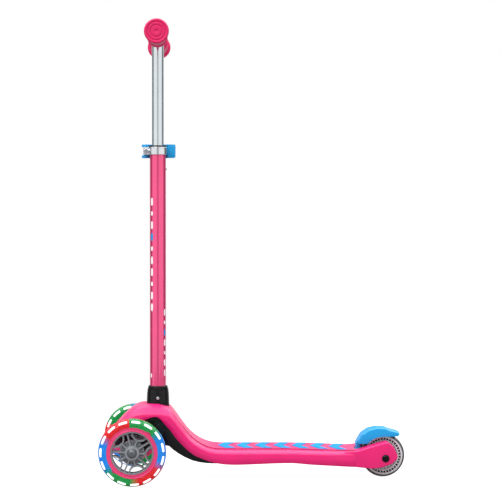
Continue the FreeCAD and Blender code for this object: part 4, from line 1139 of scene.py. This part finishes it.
def guides(side, at):
    half = TYRE_HALF - 1.3
    inner, outer = FRONT_R - 7.0, FRONT_R - 3.7
    rung = pulled("rung", [(-8.0, inner, 1.6), (8.0, inner, 1.6), (7.7, outer, 1.6),
                           (0, outer + 0.7, 9), (-7.7, outer, 1.6)],
                  -half, half, light_guide, bevel=0.4)
    made = around(rung, GUIDES, light_guide, at, first=GUIDE_FIRST)
    made.name = f"light_guides_{side}"
    return made


# %% [markdown]
# Inside the tyre is a pink ring core. Two low tabs stand out of it and lock the tyre against
# slipping. A thin lip runs round each face.

# %% Turn the ring cores
TAB_ANGLES = (40, 225)


def ring_core(side, at):
    half = TYRE_HALF - 1.5
    parts = [turned("core", mirrored([
        (CORE_IN + 0.05, -half, 0.4), (CORE_IN + 1.6, -half, 0.3), (CORE_IN + 2.2, 0.5 - half, 0.3),
        (CORE_OUT - 2.2, 0.5 - half, 0.3), (CORE_OUT - 1.6, -half, 0.3),
        (CORE_OUT - 0.1, -half, 0.5),
    ]), "y", at, pink_ring, steps=120)]
    for angle in TAB_ANGLES:
        tab = pulled("tab", [(-7, CORE_OUT - 1), (7, CORE_OUT - 1), (2.6, CORE_OUT + 2.6, 1.4),
                             (-2.6, CORE_OUT + 2.6, 1.4)], 0.3 - half, half - 0.3, pink_ring,
                     bevel=0.4)
        parts.append(around(tab, 1, pink_ring, at, first=angle))
    return join(f"ring_core_{side}_turned", parts)


# %% [markdown]
# The hub is grey, glass-filled plastic. From the rim five loops hang inwards like petals, with a
# straight spoke between each two and a short one behind each loop. Round the boss are ten small
# pockets between low walls. Loop, spoke and wall are each made once and repeated about the axle.

# %% Mould the hubs
PETALS, SPOKE_ANGLE, LOOP_ANGLE, WALL_ANGLE = 5, 58, 22, 76
LOOP_R, LOOP_STEPS, SPOKE_HALF, SPOKE_FLARE = 14, 24, 8.0, 0.9
SPOKE_EDGE = 2.6 / 2
HUB_HALF, BEARING_R, BEARING_W, BOSS_R = 11.0, 11.0, 7.0, 13.2
SEAT_END = HUB_HALF - BEARING_W


def loop_unit():
    """The part of a ring about the rim that lies inside it, as one bent bar."""
    outline, edge = [], math.acos(LOOP_R / 2 / (CORE_IN - 1))
    for radius, turn in ((LOOP_R + 1.3, 1), (LOOP_R - 1.3, -1)):
        for i in range(LOOP_STEPS + 1):
            angle = math.pi * 1.5 + (-edge + 2 * edge * i / LOOP_STEPS) * turn
            outline.append((radius * math.cos(angle), CORE_IN - 0.6 + radius * math.sin(angle)))
    return soften(pulled("loop", outline, -SPOKE_HALF, SPOKE_HALF, hub_grey), 0.5, 2, angle=60)


def spoke_unit(high, low=12.4):
    """A straight bar, flared at both ends."""
    e, f = SPOKE_EDGE, SPOKE_EDGE + SPOKE_FLARE
    line = [(-f, low), (f, low), (e, low + 5, 3), (e, high - 4, 3), (f, high), (-f, high),
            (-e, high - 4, 3), (-e, low + 5, 3)]
    return soften(pulled("spoke", line, -SPOKE_HALF, SPOKE_HALF, hub_grey), 0.5, 2, angle=60)


def hub(side, at):
    h = HUB_HALF
    parts = [turned("rim", mirrored([
        (CORE_IN - 2.6, -h, 0.7), (CORE_IN - 1.1, -h, 0.3), (CORE_IN - 0.9, 0.5 - h, 0.2),
        (CORE_IN, 0.5 - h, 0.2),
    ]), "y", at, hub_grey, steps=120)]
    parts.append(turned("boss", mirrored([
        (BEARING_R - 3, -SEAT_END), (BEARING_R, -SEAT_END), (BEARING_R, -h, 0.3), (BOSS_R, -h, 0.8),
        (BOSS_R, -2.4, 0.6), (20.2, -2.4, 0.5), (20.2, -5.4, 0.5), (21.8, -5.4, 0.5),
    ]), "y", at, hub_grey, steps=96))
    wall = bar("wall", (-0.7, -5.2, 12.6), (0.7, 5.2, 21), hub_grey, bevel=0.3)
    for unit, count, first in (
        (spoke_unit(CORE_IN - 1.6), PETALS, SPOKE_ANGLE),
        (spoke_unit(CORE_IN - LOOP_R), PETALS, LOOP_ANGLE),
        (wall, PETALS * 2, WALL_ANGLE), (loop_unit(), PETALS, LOOP_ANGLE),
    ):
        parts.append(around(unit, count, hub_grey, at, first=first))
    return join(f"hub_{side}", parts)


# %% [markdown]
# Each wheel turns on two ball bearings: two steel races with a black rubber seal between them,
# one profile with the seal a little sunk. Bearings of all three wheels come from one function.

# %% Turn the bearings
def bearings(at, body, node):
    parts = []
    for side in (-1, 1):
        low, high = sorted((side * HUB_HALF, side * SEAT_END))
        for name, line, material in (
            ("race", ringlet(BEARING_R - 0.02, BEARING_R - 2, low, high), zinc),
            ("race", ringlet(6.2, 4.05, low, high), zinc),
            ("seal", ringlet(BEARING_R - 1.9, 6.1, low + 0.5, high - 0.5, 0.2), seal_and_pocket_shade),
        ):
            parts.append(turned(name, line, "y", at, material))
    hand_over(join(f"{node}_turned", parts), body, "zinc_steel", node)


# %% Assemble the front wheels
for side in SIDES:
    body, at = f"front_wheel_{side}", FRONT[side]
    hand_over(tyre(side, at), body, "clear_tyre", f"tyre_{side}")
    hand_over(lamp_band(side, at), body, "light_guides")
    hand_over(guides(side, at), body, "light_guides", f"light_ring_{side}")
    hand_over(ring_core(side, at), body, "ring_pink", f"ring_core_{side}")
    hand_over(hub(side, at), body, "hub_grey", f"wheel_hub_{side}")
    bearings(at, body, f"bearings_{side}")

# %% [markdown]
# The front axle carries a domed nut at each end: a flange, a dome and a small cross socket.

# %% Turn the axle nuts
NUT_TIP = span("axle_nuts")[1].y
NUT_FOOT = NUT_TIP - 6


def axle_nut(side):
    line = [(4.02, NUT_FOOT), (9.4, NUT_FOOT, 0.4), (9.4, NUT_FOOT + 1.6, 0.6),
            (8.6, NUT_FOOT + 2.1, 0.3), (7.7, NUT_FOOT + 1.7, 0.3), (7.1, NUT_FOOT + 2.2, 0.3),
            (6.5, NUT_FOOT + 4.4, 1.6), (3.4, NUT_TIP - 0.3, 1.6), (2.6, NUT_TIP, 0.3),
            (2.2, NUT_TIP - 0.9, 0.2), (0, NUT_TIP - 1.1), (0, NUT_FOOT + 4.2),
            (4.02, NUT_FOOT + 4.2)]
    nut = turned("cap_nut", sided(line, side), "y", AXLE, nut_grey, steps=64)
    low, high = sorted((side * (NUT_TIP - 1.2), side * (NUT_TIP + 1)))
    return carve(nut, *(bar("cross", (AXLE.x - a, low, AXLE.z - b), (AXLE.x + a, high, AXLE.z + b))
                        for a, b in ((3.2, 0.5), (0.5, 3.2))))


hand_over(join("axle_nuts_turned", [axle_nut(-1), axle_nut(1)]), "truck", "polished_band",
          "axle_nuts")

# %% [markdown]
# The truck is the cross arm that the front wheels steer with. It is black plastic: a barrel on
# the slanted kingpin, two tapering arms along the axle with collars and fins towards their ends,
# wings for the two return springs, and a small shroud ahead of the axle.

# %% Mould the truck
RAKE = math.radians(50)
KINGPIN_UP = Vector((-math.sin(RAKE), 0, math.cos(RAKE)))
KINGPIN_OUT = Vector((math.cos(RAKE), 0, math.sin(RAKE)))
PIVOT = AXLE + KINGPIN_OUT * 24 - KINGPIN_UP * 14.7
ARM_END = span("truck_body")[1].y
FIN_PITCH, FINS, SHROUD_HALF = 8, 5, 24


def leaned(obj):
    """Moves a piece from the kingpin's own frame, in which it was drawn, to its place."""
    turn = Matrix((KINGPIN_OUT, (0, 1, 0), KINGPIN_UP)).transposed().to_4x4()
    obj.data.transform(Matrix.Translation(PIVOT * MM) @ turn)
    return obj


truck = [turned("arms", mirrored([
    (0, -ARM_END), (9.2, -ARM_END, 0.6), (9.8, -ARM_END + 3, 0.6), (9.8, -ARM_END + 8, 0.8),
    (8.6, -ARM_END + 10, 1.2), (9.0, -46, 4), (9.9, -34, 4),
]), "y", AXLE, black_moulding, steps=64)]
for start in (-ARM_END + 16, ARM_END - 16 - FIN_PITCH * (FINS - 1)):
    fin = turned("fin", ringlet(9.95, 7.5, -0.9, 0.9), "y", (0, 0, 0), black_moulding, steps=48)
    truck.append(in_a_row(fin, FINS, black_moulding, (AXLE.x, start, AXLE.z), (0, FIN_PITCH, 0)))
truck.append(leaned(turned("barrel", ringlet(12.4, 4.6, -11.9, 11.9, 1.2), "z", (0, 0, 0),
                           black_moulding)))
truck.append(leaned(pulled("neck", [(-25, -12, 2), (-4, -12, 2), (-4, 12, 2), (-25, 12, 2)],
                           -13, 13, black_moulding, bevel=1.6)))
truck.append(leaned(pulled("wings", [(-31, 5, 3), (-14.2, 5, 2), (-14.2, 24.4, 2), (-31, 24.4, 3)],
                           -39.5, 39.5, black_moulding, bevel=2.2)))
truck.append(pulled("shroud", about(AXLE, [(-35, -3, 3), (-35, 7, 4), (-28, 15, 4), (-7, 15, 3),
                                           (-2, 9, 3), (-2, -3, 3)]),
                    -SHROUD_HALF, SHROUD_HALF, black_moulding, bevel=2.6))
hand_over(join("truck_moulding", truck), "truck", "black_moulding", "truck_body")

# %% [markdown]
# Two coil springs push the truck straight again. A spring is a wire along a helix, so Geometry
# Nodes draws it: a spiral curve, a round profile, and a mesh swept along it.

# %% Coil the springs
def coil_tree():
    tree, given = node_group("coil", Turns="Float", Radius="Float", Length="Float", Wire="Float",
                             Finish="Material")
    spiral = add(tree, "GeometryNodeCurveSpiral", Resolution=28, Rotations=given["Turns"],
                 Start_Radius=given["Radius"], End_Radius=given["Radius"], Height=given["Length"])
    wire = add(tree, "GeometryNodeCurvePrimitiveCircle", Resolution=12, Radius=given["Wire"])
    sweep = add(tree, "GeometryNodeCurveToMesh", Curve=spiral.outputs[0],
                Profile_Curve=wire.outputs[0], Fill_Caps=True)
    return close_group(tree, sweep.outputs[0], given["Finish"])


COIL = coil_tree()


def coil(name, turns, radius, length, wire, direction, centre):
    """A spring of a length, centred on a point, with its axis along a direction."""
    seed = piece(name, [(0, 0, 0), (0.1, 0, 0), (0, 0.1, 0)], [(0, 1, 2)])
    run_tree(seed, COIL, Turns=float(turns), Radius=radius * MM, Length=length * MM,
             Wire=wire * MM, Finish=spring_steel)
    turn = Vector((0, 0, 1)).rotation_difference(direction).to_matrix().to_4x4()
    seed.data.transform(Matrix.Translation(Vector(centre) * MM) @ turn
                        @ Matrix.Translation((0, 0, -length * MM / 2)))
    return seed


def bend_between(obj, node):
    """Bakes a spring's place into its mesh and hides the CAD node that it stands for."""
    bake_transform(obj)
    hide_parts(node)


SPRING_LENGTH = 14.0
for side in SIDES:
    node = f"lean_spring_{side}"
    centre, reach = middle(node), KINGPIN_OUT * (SPRING_LENGTH / 2)
    spring = coil(f"{node}_coil", 5, 5.6, SPRING_LENGTH, 0.8, KINGPIN_OUT, centre)
    bend_between(spring, node)

# %% [markdown]
# The rear wheel is a plain one: a smoky tyre on a pale hub. The hub's ring has a row of small
# teeth inside it, with a black ring behind them as painted shade in the pockets between them,
# and two dozen thin ribs run to the boss.

# %% Turn the rear wheel
REAR_HALF, REAR_CORE = half_size("rear_tyre", "y"), REAR_R - 4.5
RIM_HALF = REAR_HALF - 1
REAR_RIBS, TEETH = 24, 36
rear_tyre = turned("rear_tyre_cast", mirrored([
    (REAR_CORE, 2.2 - REAR_HALF, 0.4), (REAR_CORE + 2, 0.7 - REAR_HALF, 1),
    (REAR_R - 1.2, 4 - REAR_HALF, 2), (REAR_R, -3, 3),
]), "y", REAR, smoke_tyre, steps=128)
hand_over(rear_tyre, "rear_wheel", "smoke_tyre", "rear_tyre")
rim = turned("rear_rim", mirrored([
    (BEARING_R - 3, -SEAT_END), (BEARING_R, -SEAT_END), (BEARING_R, -HUB_HALF, 0.3),
    (BOSS_R, -HUB_HALF, 0.5), (BOSS_R, -3, 0.5), (REAR_CORE - 3.2, -3, 0.2),
    (REAR_CORE - 3.2, -RIM_HALF, 0.5), (REAR_CORE - 0.02, -RIM_HALF, 0.6),
]), "y", REAR, pale_hub, steps=128)
# A black ring behind the teeth: painted shade for the pockets between them.
pocket_shade_ring = turned("pocket_shade_ring", ringlet(REAR_CORE - 3.1, REAR_CORE - 8.0, -7.4, 7.4, 0.2), "y", REAR,
                seal_and_pocket_shade, steps=96)
tooth = bar("tooth", (-0.9, 2 - RIM_HALF, REAR_CORE - 7.4), (0.9, RIM_HALF - 2, REAR_CORE - 3),
            pale_hub, bevel=0.3)
ring = turned("inner_ring", ringlet(REAR_CORE - 7.2, REAR_CORE - 9.0, 1.6 - RIM_HALF,
                                    RIM_HALF - 1.6, 0.5), "y", REAR, pale_hub, steps=96)
rib = bar("rib", (-0.8, -8, BEARING_R + 2), (0.8, 8, REAR_CORE - 8.6), pale_hub, bevel=0.3)
hub_parts = [rim, pocket_shade_ring, around(tooth, TEETH, pale_hub, REAR), ring,
             around(rib, REAR_RIBS, pale_hub, REAR)]
hand_over(join("rear_hub_moulding", hub_parts), "rear_wheel", "pale_hub", "rear_hub")
bearings(REAR, "rear_wheel", "rear_bearings")

# %% [markdown]
# A black domed cap covers each end of the rear axle. The left one is one piece with the axle.

# %% Cap the rear axle
CAP_FOOT, CAP_TIP = ARM_OUT, span("rear_axle_nut")[1].y
CAP_LINE = [(6.9, CAP_FOOT - 1), (6.9, CAP_FOOT + 0.6, 0.5), (6.2, CAP_FOOT + 1.7, 0.8),
            (4.4, CAP_TIP - 0.5, 1), (0, CAP_TIP)]
ROD_LINE = [(0, -CAP_FOOT), (4.0, -CAP_FOOT), (4.0, CAP_FOOT - 1)]
for name, line, side, node in (
    ("rear_axle_turned", ROD_LINE + CAP_LINE, -1, "rear_axle"),
    ("rear_axle_cap", [(0, CAP_FOOT - 1)] + CAP_LINE, 1, "rear_axle_nut"),
):
    hand_over(turned(name, sided(line, side), "y", (REAR.x, 0, REAR.z), black_oxide, steps=56),
              "deck", "black_oxide", node)

# %% [markdown]
# The foot brake is a blue guard that arches over the rear wheel. It is one closed form: its side
# outline is swept across the scooter while its edges draw in, which crowns the top, and the
# wheel's room is turned out of it. A heel lip turns up behind.

# %% Shape the brake guard
CHEEK_IN, GUARD_HALF = (corner.y for corner in span("brake_cheek_right"))
GUARD_ROOM, GUARD_ROWS, CROWN_IN, KNUCKLE_HALF = REAR_R + 6, 20, 2.6, 11
GUARD = (
    about(HINGE, [(-0.75, 5.5, 2), (-1.75, 17.5, 8)])
    + about(REAR, [(-40, 40, 12), (-28, 48.2, 14), (-14, 51.9, 14), (3, 51.6, 12), (12, 47.8, 8),
                   (23, 45.2, 8), (30.6, 42.4, 3), (27.5, 38, 3), (20, 36, 6), (8, 35.8, 8),
                   (-10, 34.6, 8), (-18, 31.4, 8), (-25, 26.3, 6), (-30, 22.8, 4)])
    + about(HINGE, [(9.25, 13.1, 4), (7.25, 5.5, 2)])
)


def guard_form():
    """The outline repeated across the width, drawn in towards its middle line at both sides."""
    line = rounded(GUARD, steps=5)
    count, centre = len(line), Vector((REAR.x, REAR.z))
    corners, faces = [], []
    for row in range(GUARD_ROWS + 1):
        share = -math.cos(math.pi * row / GUARD_ROWS)
        pull = CROWN_IN * (1 - math.sqrt(max(1 - abs(share) ** 4, 0)))
        for p in line:
            out = p - centre
            p = p - out.normalized() * pull * fade(out.length, GUARD_ROOM - 4, GUARD_ROOM + 3)
            corners.append((p.x, GUARD_HALF * share, p.y))
    for start in range(0, GUARD_ROWS * count, count):
        for i in range(count):
            j = (i + 1) % count
            faces.append((start + i, start + j, start + count + j, start + count + i))
    faces += [tuple(range(count)), tuple(range(GUARD_ROWS * count, (GUARD_ROWS + 1) * count))]
    return piece("guard", corners, faces, blue_moulding, crisp=math.radians(60))


guard = guard_form()
room = turned("room", [(0, -CHEEK_IN), (GUARD_ROOM, -CHEEK_IN, 2), (GUARD_ROOM, CHEEK_IN, 2),
                       (0, CHEEK_IN)], "y", REAR, steps=128)
side_rooms = [
    bar("side_room", (HINGE.x - 14, low, HINGE.z - 10),
        (REAR.x - 0.7 * REAR_R, high, HINGE.z + 12.9))
    for low, high in ((-GUARD_HALF - 1, -KNUCKLE_HALF), (KNUCKLE_HALF, GUARD_HALF + 1))
]
carve(guard, room, *side_rooms)
knuckle = turned("knuckle", ringlet(5.5, 2.6, -KNUCKLE_HALF, KNUCKLE_HALF, 0.8), "y",
                 (HINGE.x, 0, HINGE.z), blue_moulding, steps=48)
web = pulled("web", about(HINGE, [(-4, 3.4), (4.5, 3.4), (4.5, 16), (-3, 16)]), -10.9, 10.9,
             blue_moulding, bevel=0.5)
hand_over(join("brake_moulding", [guard, knuckle, web]), "brake", "blue_moulding", "brake_guard",
          "brake_cheek_left", "brake_cheek_right")

# %% [markdown]
# The two brake springs are small torsion coils on the hinge pin, beside the guard's knuckle.

# %% Coil the brake springs
spring_y = span("brake_springs")[1].y - 2
brake_coils = [coil("brake_coil", 3.5, 3.9, 3.0, 0.42, Vector((0, 1, 0)), (HINGE.x, y, HINGE.z))
               for y in (-spring_y, spring_y)]
hand_over(join("brake_coils", brake_coils), "deck", "spring_steel", "brake_springs")

# %% [markdown]
# Each snap button is held out by a leaf of spring steel inside the tube. When the button is
# pressed the leaf bends, so it is a copy of the CAD leaf with many cuts across it.

# %% Cut the spring leaves
LEAF_CUTS, BELOW_BUTTON = 14, 5.5


def spring_leaf(node, button, foot_x, tip_x):
    foot, tip = (foot_x, 0, span(node)[0].z), (tip_x, 0, middle(button).z - BELOW_BUTTON)
    start, end = Vector(foot) * MM, Vector(tip) * MM
    mesh = bmesh.new()
    mesh.from_mesh(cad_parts[node].data)
    bmesh.ops.remove_doubles(mesh, verts=mesh.verts, dist=SAME_PLACE)
    for i in range(LEAF_CUTS):
        bmesh.ops.bisect_plane(mesh, geom=[*mesh.verts, *mesh.edges, *mesh.faces], dist=1e-7,
                               plane_co=start.lerp(end, i / (LEAF_CUTS - 1)), plane_no=end - start)
    data = bpy.data.meshes.new(f"{node}_leaf")
    mesh.to_mesh(data)
    mesh.free()
    data.materials.append(spring_steel)
    leaf = clean(new_object(f"{node}_leaf", data))
    bend_between(leaf, node)


spring_leaf("height_clip", "height_button", COLUMN.x - 3, span("height_clip")[1].x)
spring_leaf("socket_clip", "socket_button", COLUMN.x, COLUMN.x)

# %% [markdown]
# What is left are CAD nodes whose shapes are already right, small or hidden: the front axle, the
# pins, bolt, screws and spacers, the plugs in the bar, and the carrier inside the neck. Each gets
# a finish; most are plain zinc-plated steel.

# %% Give the kept CAD nodes their finishes
MADE_OF = {
    "deck_carrier": black_moulding, "bar_plugs": black_moulding, "kingpin": black_oxide,
    "kingpin_nut": black_oxide, "deck_screws": black_oxide, "pivot_bushes": bronze,
}
kept = {name: obj.data.materials for name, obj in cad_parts.items() if not obj.hide_render}
for name, slots in kept.items():
    if not slots:
        slots.append(None)
    for index in range(len(slots)):
        slots[index] = MADE_OF.get(name, zinc)
print("CAD nodes kept:", ", ".join(sorted(kept)))
